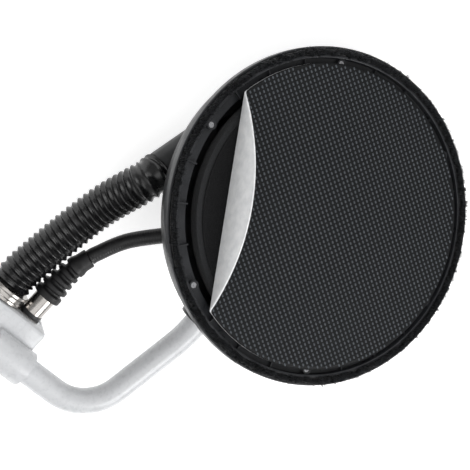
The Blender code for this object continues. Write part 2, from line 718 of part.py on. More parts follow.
def make_gears(head, spinning, seat_floor):
    pinion_pitch_r = GEAR_PITCH_R * PINION_TEETH / GEAR_TEETH
    bore = SPINDLE_R + GAP
    gear_frame = frame("gear_cone", (0, 0, GEAR_APEX_Z), parent=spinning)
    gap_turn = INLET_AZIMUTH + math.pi / GEAR_TEETH
    gear_back = pinion_pitch_r + GEAR_BACK_T
    bevel_gear("bevel_gear", GEAR_TEETH, GEAR_PITCH_R, pinion_pitch_r,
               [(bore, pinion_pitch_r * 0.8)],
               [(GEAR_PITCH_R * 0.94, gear_back), (bore, gear_back)],
               True, gap_turn, steel(), gear_frame)
    pinion_frame = frame("pinion_cone", (0, 0, GEAR_APEX_Z),
                         axes_rotation(Vector((0, 0, 1)), INLET_DIR), head)
    boss = GEAR_PITCH_R + GEAR_BACK_T / 2
    shaft_end = INLET_REACH - GAP
    inner_r = pinion_pitch_r * GEAR_INNER_SCALE
    bevel_gear("bevel_pinion", PINION_TEETH, pinion_pitch_r, GEAR_PITCH_R,
               [(inner_r * 0.4, GEAR_PITCH_R * GEAR_INNER_SCALE)],
               [(pinion_pitch_r * 0.8, boss), (PINION_SHAFT_R, boss), (PINION_SHAFT_R, shaft_end)],
               False, 0.0, steel(), pinion_frame)
    bearing("pinion_bearing", INLET_R - INLET_WALL - GAP, PINION_SHAFT_R + GAP, boss + RUN_GAP,
            PINION_BEARING_W, pinion_frame)


def make_spindle(spinning, seat_floor, rear_seat):
    neck = -GEARBOX_DEPTH
    top = BACKING_Z - GAP
    bore_floor = BACKING_Z + BACKING_T - PAD_SCREW_LENGTH - 2 * GAP
    turned("spindle", [
        (0, -rear_seat + 2 * GAP),
        (SPINDLE_TAIL_R, -rear_seat + 2 * GAP),
        (SPINDLE_TAIL_R, neck),
        (SPINDLE_R, neck),
        (SPINDLE_R, top - SPINDLE_FLANGE_H),
        (SPINDLE_FLANGE_R, top - SPINDLE_FLANGE_H),
        (SPINDLE_FLANGE_R, top),
        (PAD_SCREW_R + GAP, top),
        (PAD_SCREW_R + GAP, bore_floor),
        (0, bore_floor),
    ], steel(), spinning, FACETS_TUBE)
    screw_seat = BACKING_Z + BACKING_T + GAP
    turned("pad_screw", [
        (0, screw_seat - PAD_SCREW_LENGTH),
        (PAD_SCREW_R, screw_seat - PAD_SCREW_LENGTH),
        (PAD_SCREW_R, screw_seat),
        (PAD_SCREW_HEAD_R, screw_seat),
        (PAD_SCREW_HEAD_R, screw_seat + PAD_SCREW_HEAD_H),
        (0, screw_seat + PAD_SCREW_HEAD_H),
    ], steel(), spinning, FACETS_SMALL)
    turned("backing_plate", tube_profile(BACKING_R, PAD_SCREW_R + GAP, BACKING_Z,
                                         BACKING_Z + BACKING_T), black_plastic(), spinning, FACETS_PAD)
    turned("foam_pad", tube_profile(FOAM_R, FOAM_HOLE_R, FOAM_Z, FOAM_Z + FOAM_T),
           material("foam", (0.035, 0.036, 0.04), 0.95), spinning, FACETS_PAD)
    turned("hook_face", rod_profile(HOOK_R, HOOK_Z, HOOK_Z + HOOK_T),
           material("hook", (0.010, 0.010, 0.011), 0.85), spinning, FACETS_PAD)


def disc_outline(low_angle, high_angle, chord):
    """The disc's edge between two angles; the chord closes it."""
    steps = round(FACETS_RIM * (high_angle - low_angle) / (2 * math.pi))
    turns = [low_angle + (high_angle - low_angle) * i / steps for i in range(steps + 1)]
    return [(DISC_R * math.cos(a) - chord, DISC_R * math.sin(a)) for a in turns]


def make_abrasive(spinning):
    """The disc still on the pad, and the flap peeled up along a straight fold."""
    grit = material("grit", (0.03, 0.031, 0.034), 0.8)
    inner = CREASE_DISTANCE - CREASE_GAP
    outer = CREASE_DISTANCE + CREASE_GAP
    held = frame("disc_frame", (0, 0, 0), (0, 0, CREASE_AZIMUTH), spinning)
    inner_half = math.acos(inner / DISC_R)
    extruded("abrasive_disc", disc_outline(inner_half, 2 * math.pi - inner_half, 0.0),
             DISC_Z, DISC_Z + DISC_T, grit, held)
    outer_half = math.acos(outer / DISC_R)
    hinge = frame("flap_hinge", (CREASE_DISTANCE, 0, DISC_Z + DISC_T / 2), (0, 0, 0), held)
    flap = extruded("abrasive_flap", disc_outline(-outer_half, outer_half, CREASE_DISTANCE),
                    -DISC_T / 2, DISC_T / 2, grit, hinge)
    flap.rotation_euler = (0, -FLAP_FOLD, 0)


# ---- gimbal and arm --------------------------------------------------------------------------------------
def make_gimbal(gimbal):
    leg_out = -TILT_BOSS_FACE - RUN_GAP - GIMBAL_T
    leg_in = -TILT_BOSS_FACE - RUN_GAP
    bracket = block("gimbal_bracket", (-GIMBAL_BACK, leg_out, -GIMBAL_HALF_H),
                    (0, leg_in, GIMBAL_HALF_H), white_paint(), gimbal)
    weld(
        bracket,
        rod("gimbal_eye", (0, leg_out, 0), (0, leg_in, 0), TILT_BOSS_R, white_paint(), gimbal),
        block("gimbal_plate", (-GIMBAL_BACK - GIMBAL_T, leg_out, -GIMBAL_HALF_H),
              (-GIMBAL_BACK + GAP, GIMBAL_PLATE_END_Y, GIMBAL_HALF_H), white_paint(), gimbal),
        rod("gimbal_stud", (-GIMBAL_BACK - GIMBAL_T / 2, 0, 0),
            (-GIMBAL_BACK - GIMBAL_T - ROLL_STUD_LENGTH, 0, 0), ROLL_STUD_R, steel(), gimbal),
    )
    cut(bracket, rod("gimbal_pin_hole", (0, leg_out - GIMBAL_T, 0), (0, leg_in + GIMBAL_T, 0),
                     TILT_PIN_R + GAP, white_paint(), gimbal))
    pin_frame = frame("tilt_pin_axis", (0, 0, 0), axes_rotation(Vector((1, 0, 0)), Vector((0, -1, 0))),
                      gimbal)
    turned("tilt_pin", [
        (0, TILT_BOSS_FACE - TILT_BORE_DEPTH + GAP),
        (TILT_PIN_R, TILT_BOSS_FACE - TILT_BORE_DEPTH + GAP),
        (TILT_PIN_R, -leg_out + GAP),
        (1.6 * TILT_PIN_R, -leg_out + GAP),
        (1.6 * TILT_PIN_R, -leg_out + TILT_PIN_R / 1.5),
        (0, -leg_out + TILT_PIN_R / 1.5),
    ], steel(), pin_frame, FACETS_TUBE)


def make_arm():
    """The bent tube from the front bracket to the roll joint, and the socket on its end."""
    along_x = frame("roll_axis", (0, PIVOT.y, PIVOT.z), (0, math.radians(90), 0))
    bush_out = ROLL_STUD_R + RUN_GAP + ROLL_BUSH_WALL
    bore_end = SOCKET_FRONT_X - ROLL_BORE_DEPTH - RUN_GAP
    bore_end = min(bore_end, SOCKET_FRONT_X - ROLL_STUD_LENGTH + ROLL_SOCKET_GAP - RUN_GAP)
    cup_floor = SOCKET_REAR_X + ARM_CUP_DEPTH
    turned("roll_socket", [
        (0, bore_end),
        (bush_out + GAP, bore_end),
        (bush_out + GAP, SOCKET_FRONT_X),
        (ROLL_SOCKET_R, SOCKET_FRONT_X),
        (ROLL_SOCKET_R, SOCKET_REAR_X),
        (ARM_R + GAP, SOCKET_REAR_X),
        (ARM_R + GAP, cup_floor),
        (0, cup_floor),
    ], white_paint(), along_x)
    turned("roll_bushing", tube_profile(bush_out, ROLL_STUD_R + RUN_GAP, bore_end + GAP,
                                        SOCKET_FRONT_X - GAP),
           material("bronze", (0.5, 0.32, 0.14), 0.35, 1.0), along_x, FACETS_TUBE)
    corners = [
        Vector((ARM_ROOT_X, ARM_ROOT_Y, ARM_ROOT_Z)),
        Vector((ARM_ROOT_X, PIVOT.y + ARM_KNEE_Y, ARM_ROOT_Z)),
        Vector((REACH - ARM_KNEE_SETBACK, PIVOT.y, PIVOT_Z)),
        Vector((cup_floor - GAP, PIVOT.y, PIVOT_Z)),
    ]
    path = filleted_path(corners, (ARM_ROOT_BEND_R, ARM_KNEE_BEND_R), ARM_BEND_STEPS)
    hollow_sweep("yoke_arm", [(p, ARM_R) for p in path], [(p, ARM_R - ARM_WALL) for p in path],
                 white_paint(), facets=FACETS_BENT)


# ---- wand: tubes, brackets, ferrule and boot -----------------------------------------------------------------
def along_wand(name, y):
    """A frame on a tube's axis: its Z runs along the wand, so heights are places along X."""
    return frame(name, (0, y, TUBE_Z), (0, math.radians(90), 0))


def make_front_bracket():
    low = (BRACKET_REAR, DRIVE_Y - DRIVE_TUBE_R - BRACKET_WALL, TUBE_Z - DUST_TUBE_R - BRACKET_WALL / 1.6)
    high = (BRACKET_FRONT, DUST_Y + DUST_TUBE_R + BRACKET_WALL, ARM_ROOT_Z - BRACKET_WALL)
    bracket = block("front_bracket", low, high, white_paint(), edge=BRACKET_EDGE)
    socket_r = ARM_R + ARM_SOCKET_WALL
    mouth_y = low[1] - BRACKET_WALL / 2
    weld(bracket, rod("arm_socket", (ARM_ROOT_X, mouth_y, ARM_ROOT_Z),
                      (ARM_ROOT_X, ARM_ROOT_Y + BRACKET_WALL, ARM_ROOT_Z), socket_r, white_paint()))
    beyond = BRACKET_WALL
    cut(
        bracket,
        rod("drive_tube_bore", (BRACKET_REAR - beyond, DRIVE_Y, TUBE_Z),
            (BRACKET_FRONT + beyond, DRIVE_Y, TUBE_Z), DRIVE_TUBE_R + GAP, white_paint()),
        rod("dust_tube_bore", (BRACKET_REAR - beyond, DUST_Y, TUBE_Z),
            (BRACKET_FRONT + beyond, DUST_Y, TUBE_Z), DUST_TUBE_R + GAP, white_paint()),
        rod("arm_bore", (ARM_ROOT_X, mouth_y - beyond, ARM_ROOT_Z),
            (ARM_ROOT_X, ARM_ROOT_Y + GAP, ARM_ROOT_Z), ARM_R + GAP, white_paint()),
    )


def make_rear_bracket():
    front = REAR_BRACKET_FROM + REAR_BRACKET_LENGTH
    bracket = block(
        "rear_bracket",
        (REAR_BRACKET_FROM, DRIVE_Y - DRIVE_TUBE_R - BRACKET_WALL, TUBE_Z - DUST_TUBE_R - BRACKET_WALL),
        (front, DUST_Y + DUST_TUBE_R + BRACKET_WALL, TUBE_Z + DUST_TUBE_R + BRACKET_WALL),
        black_plastic(), edge=BRACKET_EDGE)
    for name, y, radius in (("drive", DRIVE_Y, DRIVE_TUBE_R), ("dust", DUST_Y, DUST_TUBE_R)):
        cut(bracket, rod(f"rear_{name}_bore", (REAR_BRACKET_FROM - BRACKET_WALL, y, TUBE_Z),
                         (front + BRACKET_WALL, y, TUBE_Z), radius + GAP, black_plastic()))


def make_tubes(drive, dust):
    drive_front = BRACKET_FRONT - GAP
    turned("drive_tube", tube_profile(DRIVE_TUBE_R, DRIVE_TUBE_R - DRIVE_TUBE_WALL,
                                      MOTOR_NOSE - TUBE_SOCKET_DEPTH, drive_front), steel(), drive, FACETS_TUBE)
    turned("dust_tube", tube_profile(DUST_TUBE_R, DUST_TUBE_R - DUST_TUBE_WALL, DUST_END,
                                     COLLAR_FRONT - COLLAR_WALL), steel(), dust, FACETS_TUBE)
    turned("hose_collar", [
        (COLLAR_R, COLLAR_REAR),
        (COLLAR_R, COLLAR_FRONT),
        (DUST_TUBE_R - DUST_TUBE_WALL, COLLAR_FRONT),
        (DUST_TUBE_R - DUST_TUBE_WALL, COLLAR_FRONT - COLLAR_WALL + GAP),
        (DUST_TUBE_R + GAP, COLLAR_FRONT - COLLAR_WALL + GAP),
        (DUST_TUBE_R + GAP, COLLAR_REAR),
    ], chrome(), dust, FACETS_BODY)
    turned("shaft_ferrule", tube_profile(FERRULE_R, FERRULE_BORE_R, FERRULE_REAR, FERRULE_FRONT),
           chrome(), drive, FACETS_TUBE)
    turned("ferrule_clip", tube_profile(CLIP_R, FERRULE_R + GAP, BRACKET_FRONT + GAP,
                                        BRACKET_FRONT + GAP + CLIP_T), black_plastic(), drive, FACETS_TUBE)


def make_grip(drive):
    """The foam grip: one sleeve round both tubes, its outline two arcs and their tangents."""
    small, large = DRIVE_TUBE_R + GRIP_WALL, DUST_TUBE_R + GRIP_WALL
    lean = -math.asin((large - small) / TUBE_PITCH)
    steps = FACETS_SMALL
    dust_turns = [lean + (math.pi - 2 * lean) * i / steps for i in range(steps + 1)]
    drive_turns = [math.pi - lean + (math.pi + 2 * lean) * i / steps for i in range(steps + 1)]
    outline = [(large * math.cos(a), TUBE_PITCH + large * math.sin(a)) for a in dust_turns]
    outline += [(small * math.cos(a), small * math.sin(a)) for a in drive_turns]
    grip = extruded("foam_grip", outline, GRIP_FROM, GRIP_FROM + GRIP_LENGTH, black_rubber(), drive)
    ends = (GRIP_FROM - GRIP_WALL, GRIP_FROM + GRIP_LENGTH + GRIP_WALL)
    bores = [rod_shape((0, y, ends[0]), (0, y, ends[1]), radius + GAP)
             for y, radius in ((0, DRIVE_TUBE_R), (TUBE_PITCH, DUST_TUBE_R))]
    cut(grip, joined("grip_bores", bores, black_rubber(), drive))


def boot_outside(length, flange_r, flange_t, nose_r, ribs):
    """Outline of a ribbed, tapering rubber boot, (radius, distance) from its rear face."""
    outside = [(flange_r, 0.0), (flange_r, flange_t)]
    pitch = (length - flange_t) / (ribs + 1.5)
    for index in range(ribs):
        crest = flange_r + (nose_r - flange_r) * (index + 0.5) / (ribs + 1)
        low = flange_t + index * pitch
        outside += [(crest - pitch / 3, low + pitch * 0.3), (crest, low + pitch * 0.6),
                    (crest, low + pitch * 0.95)]
    return outside + [(nose_r, length - pitch), (nose_r, length - pitch / 8), (nose_r, length)]


def boot_inside(length, bore_r, cup_r, cup_depth, steps=1):
    """Outline of the boot's bore: a cup at the rear face, then a plain bore in even steps."""
    bore = [(bore_r, cup_depth + (length - cup_depth) * i / steps) for i in range(steps + 1)]
    return [(cup_r, 0.0), (cup_r, cup_depth), *bore]


def rear_boot_axis(distance):
    """A point on the rear boot's axis: straight over the ferrule, then bending towards -Y."""
    start = Vector((BOOT_REAR, DRIVE_Y, TUBE_Z))
    if distance <= BOOT_STRAIGHT:
        return start + Vector((distance, 0, 0))
    radius = (BOOT_LENGTH - BOOT_STRAIGHT) / BOOT_LEAN
    swing = (distance - BOOT_STRAIGHT) / radius
    return start + Vector((BOOT_STRAIGHT + radius * math.sin(swing), radius * (math.cos(swing) - 1), 0))


def make_rear_boot():
    outside = boot_outside(BOOT_LENGTH, BOOT_FLANGE_R, BOOT_FLANGE_T, BOOT_NOSE_R, BOOT_RIBS)
    inside = boot_inside(BOOT_LENGTH, SLEEVE_R - GAP, FERRULE_R + GAP, BOOT_OVERLAP + GAP, BOOT_STEPS)
    hollow_sweep("shaft_boot_rear", [(rear_boot_axis(s), r) for r, s in outside],
                 [(rear_boot_axis(s), r) for r, s in inside], black_rubber(), facets=FACETS_TUBE)


def make_front_boot(head):
    """The short boot where the flexible sleeve screws into the gearbox's inlet."""
    along_inlet = frame("inlet_axis", (0, 0, GEAR_APEX_Z), axes_rotation(Vector((0, 0, 1)), INLET_DIR), head)
    outside = boot_outside(FRONT_BOOT_LENGTH, FRONT_BOOT_R, BOOT_FLANGE_T, BOOT_NOSE_R, BOOT_RIBS - 1)
    inside = boot_inside(FRONT_BOOT_LENGTH, SLEEVE_R - GAP, SLEEVE_R, BOOT_OVERLAP)
    rear = INLET_REACH + GAP
    turned("shaft_boot_front", [(r, rear + s) for r, s in outside + inside[::-1]], black_rubber(),
           along_inlet)


def make_port(head):
    """The elbow that takes dust from the shroud's floor to the hose."""
    top = SHROUD_BACK - GAP
    mouth_z = SHROUD_BACK - PORT_DROP
    corners = [
        Vector((PORT_X, PORT_Y, top)),
        Vector((PORT_X, PORT_Y, mouth_z)),
        Vector((PORT_MOUTH.x, PORT_MOUTH.y, mouth_z)),
    ]
    path = filleted_path(corners, (PORT_BEND_R,), 6)
    under = Vector((PORT_X, PORT_Y, top - PORT_FLANGE_T))
    outer = [(path[0], PORT_FLANGE_R), (under, PORT_FLANGE_R), (under, PORT_R)]
    outer += [(p, PORT_R) for p in path[1:]]
    inner = [(p, PORT_R - PORT_WALL) for p in path]
    hollow_sweep("hose_port", outer, inner, black_plastic(), head, facets=FACETS_BENT)


# ---- hose and flexible sleeve -------------------------------------------------------------------------------
def head_point(x, y, z):
    """A point of the head frame, in the tool's frame, as the tool lies."""
    return PIVOT + Euler((0, HEAD_TILT, 0)).to_matrix() @ Vector((x, y, z))


def soft_tube(name, path, radius, finish, facets):
    verts, faces = swept([(p, radius) for p in path], facets, closed=False)
    piece(name, verts, faces, finish)


def split_run(knots, samples, names, radius, finish, facets):
    """One smooth run in two lengths that meet where the roll joint's share ends."""
    path = smooth_curve(knots, samples)
    path.insert(1, knots[0] + (knots[1] - knots[0]).normalized() * radius / 4)
    path.insert(-1, knots[-1] + (knots[-2] - knots[-1]).normalized() * radius / 4)
    middle = round((len(path) - 1) * HOSE_SPLIT)
    split = path[middle]
    across = (path[middle + 1] - path[middle - 1]).normalized()
    lead = across * radius / 4
    rear = [*path[:middle], split - lead, split - across * GAP]
    front = [split, split + lead, *path[middle + 1:]]
    soft_tube(names[0], rear, radius, finish, facets)
    soft_tube(names[1], front, radius, finish, facets)


def hose_knots():
    """The dust hose's axis, from the collar to the port: behind the tilt axis, beside the spindle."""
    mouth = head_point(PORT_MOUTH.x, PORT_MOUTH.y, SHROUD_BACK - PORT_DROP)
    bend = Vector((PORT_X, PORT_Y))
    away = (PORT_MOUTH - bend).normalized()
    past = PORT_MOUTH + away * GAP
    beyond = PORT_MOUTH + away * HOSE_R
    start = Vector((COLLAR_FRONT + GAP, DUST_Y, TUBE_Z))
    return [
        start,
        start + Vector((HOSE_R, 0, 0)),
        Vector((REACH - HOSE_BEND_X[0], DUST_Y + (mouth.y - DUST_Y) * HOSE_BEND_SHARE[0], TUBE_Z + BEND_RISE)),
        Vector((REACH - HOSE_BEND_X[1], DUST_Y + (mouth.y - DUST_Y) * HOSE_BEND_SHARE[1],
                (TUBE_Z + mouth.z) / 2)),
        head_point(beyond.x, beyond.y, SHROUD_BACK - PORT_DROP),
        head_point(past.x, past.y, SHROUD_BACK - PORT_DROP),
    ]


def sleeve_knots():
    """The flexible shaft's axis, from the rear boot to the gearbox's inlet."""
    nose = rear_boot_axis(BOOT_LENGTH)
    onward = Vector((math.cos(BOOT_LEAN), -math.sin(BOOT_LEAN), 0))
    end_reach = INLET_REACH + FRONT_BOOT_LENGTH + 2 * GAP
    ends = [INLET_DIR * (end_reach + extra) for extra in (2 * SLEEVE_R, 0.0)]
    last = [head_point(p.x, p.y, GEAR_APEX_Z) for p in ends]
    bend_y = nose.y + (last[-1].y - nose.y) * SLEEVE_BEND_SHARE
    return [
        nose + onward * GAP,
        nose + onward * SLEEVE_R,
        Vector((REACH - SLEEVE_BEND_X, bend_y, TUBE_Z + BEND_RISE)),
        *last,
    ]


def make_hoses():
    rubber = black_rubber()
    split_run(hose_knots(), 15, ("dust_hose_rear", "dust_hose_front"), HOSE_R, rubber, FACETS_BENT)
    split_run(sleeve_knots(), 11, ("flex_sleeve_rear", "flex_sleeve_front"), SLEEVE_R, rubber, FACETS_BENT)


# ---- motor ---------------------------------------------------------------------------------------------------
def half_shell(name, keep_above, drive):
    """One half of the motor's housing, split level with the motor's axis."""
    bearing_seat = MOTOR_BULKHEAD + MOTOR_BEARING_W + 2 * GAP
    tube_stop = MOTOR_NOSE - TUBE_SOCKET_DEPTH - GAP
    inside = MOTOR_R - MOTOR_WALL
    shell = turned(name, [
        (MOTOR_R, MOTOR_BACK),
        (MOTOR_R, MOTOR_SHOULDER),
        (MOTOR_NOSE_R, MOTOR_NOSE),
        (DRIVE_TUBE_R + GAP, MOTOR_NOSE),
        (DRIVE_TUBE_R + GAP, tube_stop),
        (COUPLING_R + RUN_GAP, tube_stop),
        (COUPLING_R + RUN_GAP, bearing_seat),
        (MOTOR_BEARING_R + GAP, bearing_seat),
        (MOTOR_BEARING_R + GAP, MOTOR_BULKHEAD),
        (inside, MOTOR_BULKHEAD),
        (inside, MOTOR_BACK),
    ], black_plastic(), drive)
    beyond = MOTOR_R + MOTOR_WALL
    split = GAP / 2
    low, high = (split - 2 * beyond, split) if keep_above else (-split, 2 * beyond - split)
    cut(shell, block(f"{name}_split", (MOTOR_BACK - MOTOR_WALL, DRIVE_Y - beyond, TUBE_Z + low),
                     (MOTOR_NOSE + MOTOR_WALL, DRIVE_Y + beyond, TUBE_Z + high), black_plastic()))
    return shell


def make_motor_housing(drive):
    upper = half_shell("motor_housing_upper", True, drive)
    half_l = SWITCH_LENGTH / 2 + 2 * RUN_GAP
    half_w = SWITCH_WIDTH / 2 + RUN_GAP
    cut(upper, block("switch_window", (SWITCH_X - half_l, DRIVE_Y - half_w, TUBE_Z + STATOR_R),
                     (SWITCH_X + half_l, DRIVE_Y + half_w, TUBE_Z + 2 * MOTOR_R), black_plastic()))
    half_shell("motor_housing_lower", False, drive)
    cap_rear = MOTOR_BACK - GAP - CAP_LENGTH
    hub = MOTOR_BACK + MOTOR_WALL
    inside = MOTOR_R - MOTOR_WALL
    cap = turned("motor_end_cap", [
        (0, cap_rear),
        (MOTOR_R - BRACKET_EDGE, cap_rear),
        (MOTOR_R, cap_rear + BRACKET_EDGE),
        (MOTOR_R, MOTOR_BACK - GAP),
        (inside, MOTOR_BACK - GAP),
        (inside, cap_rear + MOTOR_WALL),
        (MOTOR_BEARING_R + MOTOR_WALL, cap_rear + MOTOR_WALL),
        (MOTOR_BEARING_R + MOTOR_WALL, hub),
        (MOTOR_BEARING_R + GAP, hub),
        (MOTOR_BEARING_R + GAP, cap_rear + CAP_LENGTH / 2),
        (0, cap_rear + CAP_LENGTH / 2),
    ], black_plastic(), drive)
    dial_z = TUBE_Z + DIAL_RISE + SHAFT_R
    cord_z = TUBE_Z - CORD_HOLE_DROP - CORD_HOLE_R
    through = (cap_rear - MOTOR_WALL, cap_rear + 2 * MOTOR_WALL)
    openings = [
        rod_shape((through[0], DRIVE_Y, dial_z), (through[1], DRIVE_Y, dial_z), DIAL_SHAFT_R + RUN_GAP, FACETS_SMALL),
        rod_shape((through[0], DRIVE_Y, cord_z), (through[1], DRIVE_Y, cord_z), CORD_HOLE_R, FACETS_SMALL),
    ]
    for side in (-1, 1):
        for index in range(VENT_COUNT):
            y = DRIVE_Y + side * (MOTOR_BEARING_R + MOTOR_WALL + 2 * VENT_W + index % 2 * VENT_PITCH)
            z = TUBE_Z + (index // 2 - 0.5) * (VENT_L + VENT_W)
            openings.append(block_shape((through[0], y - VENT_W / 2, z - VENT_L / 2),
                                        (through[1], y + VENT_W / 2, z + VENT_L / 2)))
    cut(cap, joined("end_cap_openings", openings, black_plastic()))
    foot = block("rest_foot", (-FOOT_LENGTH / 2, FOOT_CENTRE_Y - FOOT_WIDTH / 2, 0),
                 (FOOT_LENGTH / 2, FOOT_CENTRE_Y + FOOT_WIDTH / 2, FOOT_H), black_rubber())
    cut(foot, rod("foot_saddle", (-FOOT_LENGTH, DRIVE_Y, TUBE_Z), (FOOT_LENGTH, DRIVE_Y, TUBE_Z),
                  MOTOR_R + GAP, black_rubber(), facets=FACETS_BODY))
    return cap_rear, hub, dial_z


def make_motor_inside(drive, cap_rear):
    turned("stator", tube_profile(STATOR_R, STATOR_BORE_R, STATOR_FROM, STATOR_TO),
           material("lamination", (0.25, 0.25, 0.26), 0.45, 1.0), drive)
    rotor = frame("motor_axis", (0, 0, 0), (0, 0, 0), drive)
    bearing("motor_bearing_front", MOTOR_BEARING_R, SHAFT_R + GAP, MOTOR_BULKHEAD + GAP,
            MOTOR_BEARING_W, drive)
    rear_seat = cap_rear + CAP_LENGTH / 2 + GAP
    bearing("motor_bearing_rear", MOTOR_BEARING_R, SHAFT_R + GAP, rear_seat, MOTOR_BEARING_W, drive)
    coupling_from = MOTOR_BULKHEAD + MOTOR_BEARING_W + 4 * GAP
    turned("armature", [
        (0, rear_seat + GAP),
        (SHAFT_R, rear_seat + GAP),
        (SHAFT_R, COMMUTATOR_FROM),
        (COMMUTATOR_R, COMMUTATOR_FROM),
        (COMMUTATOR_R, COMMUTATOR_TO),
        (SHAFT_R, COMMUTATOR_TO),
        (SHAFT_R, STATOR_FROM),
        (ROTOR_R, STATOR_FROM),
        (ROTOR_R, STATOR_TO),
        (SHAFT_R, STATOR_TO),
        (SHAFT_R, coupling_from - GAP),
        (0, coupling_from - GAP),
    ], steel(), rotor, FACETS_TUBE)
    fan_root = FAN_HUB_R
    outline = []
    for blade in range(FAN_BLADES):
        middle = 2 * math.pi * blade / FAN_BLADES
        for radius, share in ((fan_root, -0.35), (FAN_R, -0.07), (FAN_R, 0.07), (fan_root, 0.35)):
            point = on_circle(radius, middle + share * 2 * math.pi / FAN_BLADES)
            outline.append((point.x, point.y))
    fan = extruded("cooling_fan", outline, FAN_FROM, FAN_FROM + FAN_W, black_plastic(), rotor)
    cut(fan, rod("fan_bore", (0, 0, FAN_FROM - FAN_W), (0, 0, FAN_FROM + 2 * FAN_W), SHAFT_R + GAP,
                 black_plastic(), rotor, FACETS_TUBE))
    coupling_to = MOTOR_NOSE - TUBE_SOCKET_DEPTH + FERRULE_R
    turned("drive_coupling", rod_profile(COUPLING_R, coupling_from, coupling_to), steel(), rotor, FACETS_SMALL)
    turned("flex_core", rod_profile(CORE_R, coupling_to + GAP, FERRULE_FRONT - GAP), steel(), rotor,
           FACETS_SMALL)
    brush_x = (COMMUTATOR_FROM + COMMUTATOR_TO) / 2
    for side, name in ((-1, "carbon_brush_left"), (1, "carbon_brush_right")):
        ends = sorted((DRIVE_Y + side * (COMMUTATOR_R + RUN_GAP), DRIVE_Y + side * STATOR_R))
        block(name, (brush_x - SHAFT_R, ends[0], TUBE_Z - SHAFT_R), (brush_x + SHAFT_R, ends[1],
              TUBE_Z + SHAFT_R), material("carbon", (0.03, 0.03, 0.03), 0.7))


def make_controls(cap_rear, dial_z):
    """The rocker switch on top of the housing and the speed dial on the end cap."""
    pivot = frame("switch_pivot", (SWITCH_X, DRIVE_Y, TUBE_Z + SWITCH_PIVOT),
                  axes_rotation(Vector((1, 0, 0)), Vector((0, -1, 0))))
    half = SWITCH_LENGTH / 2
    keel = STATOR_R + 1.5 * RUN_GAP - SWITCH_PIVOT + 1.2 * MM
    crown = MOTOR_R - SWITCH_PIVOT + MOTOR_WALL
    extruded("power_switch", [(-half, crown + MM), (-half, -MM), (0, keel), (half, -MM),
                              (half, crown + MM), (0, crown)],
             -SWITCH_WIDTH / 2, SWITCH_WIDTH / 2, material("switch_grey", (0.09, 0.09, 0.1), 0.5), pivot)
    dial_axis = frame("dial_axis", (cap_rear, DRIVE_Y, dial_z),
                      axes_rotation(Vector((0, 0, 1)), Vector((-1, 0, 0))))
    turned("speed_dial", [
        (0, -MOTOR_WALL - GAP),
        (DIAL_SHAFT_R, -MOTOR_WALL - GAP),
        (DIAL_SHAFT_R, RUN_GAP),
        (DIAL_R, RUN_GAP),
        (DIAL_R, DIAL_H - GAP * 3),
        (DIAL_R - GAP * 3, DIAL_H),
        (0, DIAL_H),
    ], material("switch_grey", (0.09, 0.09, 0.1), 0.5), dial_axis, FACETS_TUBE)


# ---- dust outlet -----------------------------------------------------------------------------------------------
def make_outlet():
    """The elbow on the dust tube's rear end, and the cuff that swivels on it."""
    socket_front = DUST_END + ELBOW_SOCKET_LENGTH / 2
    socket_rear = DUST_END - ELBOW_SOCKET_LENGTH / 2
    corner = Vector((DUST_END - ELBOW_SOCKET_LENGTH / 2 - ELBOW_BEND_R, DUST_Y, TUBE_Z))
    tail_y = DUST_Y + ELBOW_BEND_R + ELBOW_TAIL
    tail = Vector((corner.x, tail_y, TUBE_Z))
    bend = filleted_path([Vector((socket_rear, DUST_Y, TUBE_Z)), corner, tail], (ELBOW_BEND_R,), 6)[1:]
    front = Vector((socket_front, DUST_Y, TUBE_Z))
    stop = Vector((DUST_END - GAP, DUST_Y, TUBE_Z))
    rear = Vector((socket_rear, DUST_Y, TUBE_Z))
    bore = DUST_TUBE_R - DUST_TUBE_WALL
    outer = [(front, ELBOW_SOCKET_R), (rear, ELBOW_SOCKET_R), (rear, DUST_TUBE_R)]
    outer += [(p, DUST_TUBE_R) for p in bend[1:]]
    inner = [(front, DUST_TUBE_R + GAP), (stop, DUST_TUBE_R + GAP), (stop, bore), (rear, bore)]
    inner += [(p, bore) for p in bend[1:]]
    hollow_sweep("dust_elbow", outer, inner, black_plastic(), facets=FACETS_TUBE)
    cuff_axis = frame("cuff_axis", (corner.x, 0, TUBE_Z), axes_rotation(Vector((1, 0, 0)), Vector((0, 1, 0))))
    cuff_from = tail_y - CUFF_OVERLAP
    turned("swivel_cuff", [
        (CUFF_R, cuff_from),
        (CUFF_R, cuff_from + CUFF_LENGTH),
        (CUFF_BORE_R, cuff_from + CUFF_LENGTH),
        (CUFF_BORE_R, tail_y + RUN_GAP),
        (DUST_TUBE_R + RUN_GAP, tail_y + RUN_GAP),
        (DUST_TUBE_R + RUN_GAP, cuff_from),
    ], black_rubber(), cuff_axis, FACETS_TUBE)


def clear_scene():
    for old in list(bpy.data.objects):
        bpy.data.objects.remove(old, do_unlink=True)


def build():
    clear_scene()
    gimbal = frame("gimbal_frame", PIVOT)
    head = frame("head_frame", (0, 0, 0), (0, HEAD_TILT, 0), gimbal)
    spinning = frame("spindle_axis", (0, 0, 0), (0, 0, 0), head)
    drive = along_wand("drive_tube_axis", DRIVE_Y)
    dust = along_wand("dust_tube_axis", DUST_Y)
    make_shroud(head)
    make_skirt(head)
    seat_floor, rear_seat = make_gearbox(head)
    make_gears(head, spinning, seat_floor)
    make_spindle(spinning, seat_floor, rear_seat)
    make_abrasive(spinning)
    make_gimbal(gimbal)
    make_arm()
    make_front_bracket()
    make_rear_bracket()
    make_tubes(drive, dust)
    make_grip(drive)
    make_rear_boot()
    make_front_boot(head)
    make_port(head)
    make_hoses()
    cap_rear, _, dial_z = make_motor_housing(drive)
    make_motor_inside(drive, cap_rear)
    make_controls(cap_rear, dial_z)
    make_outlet()


build()
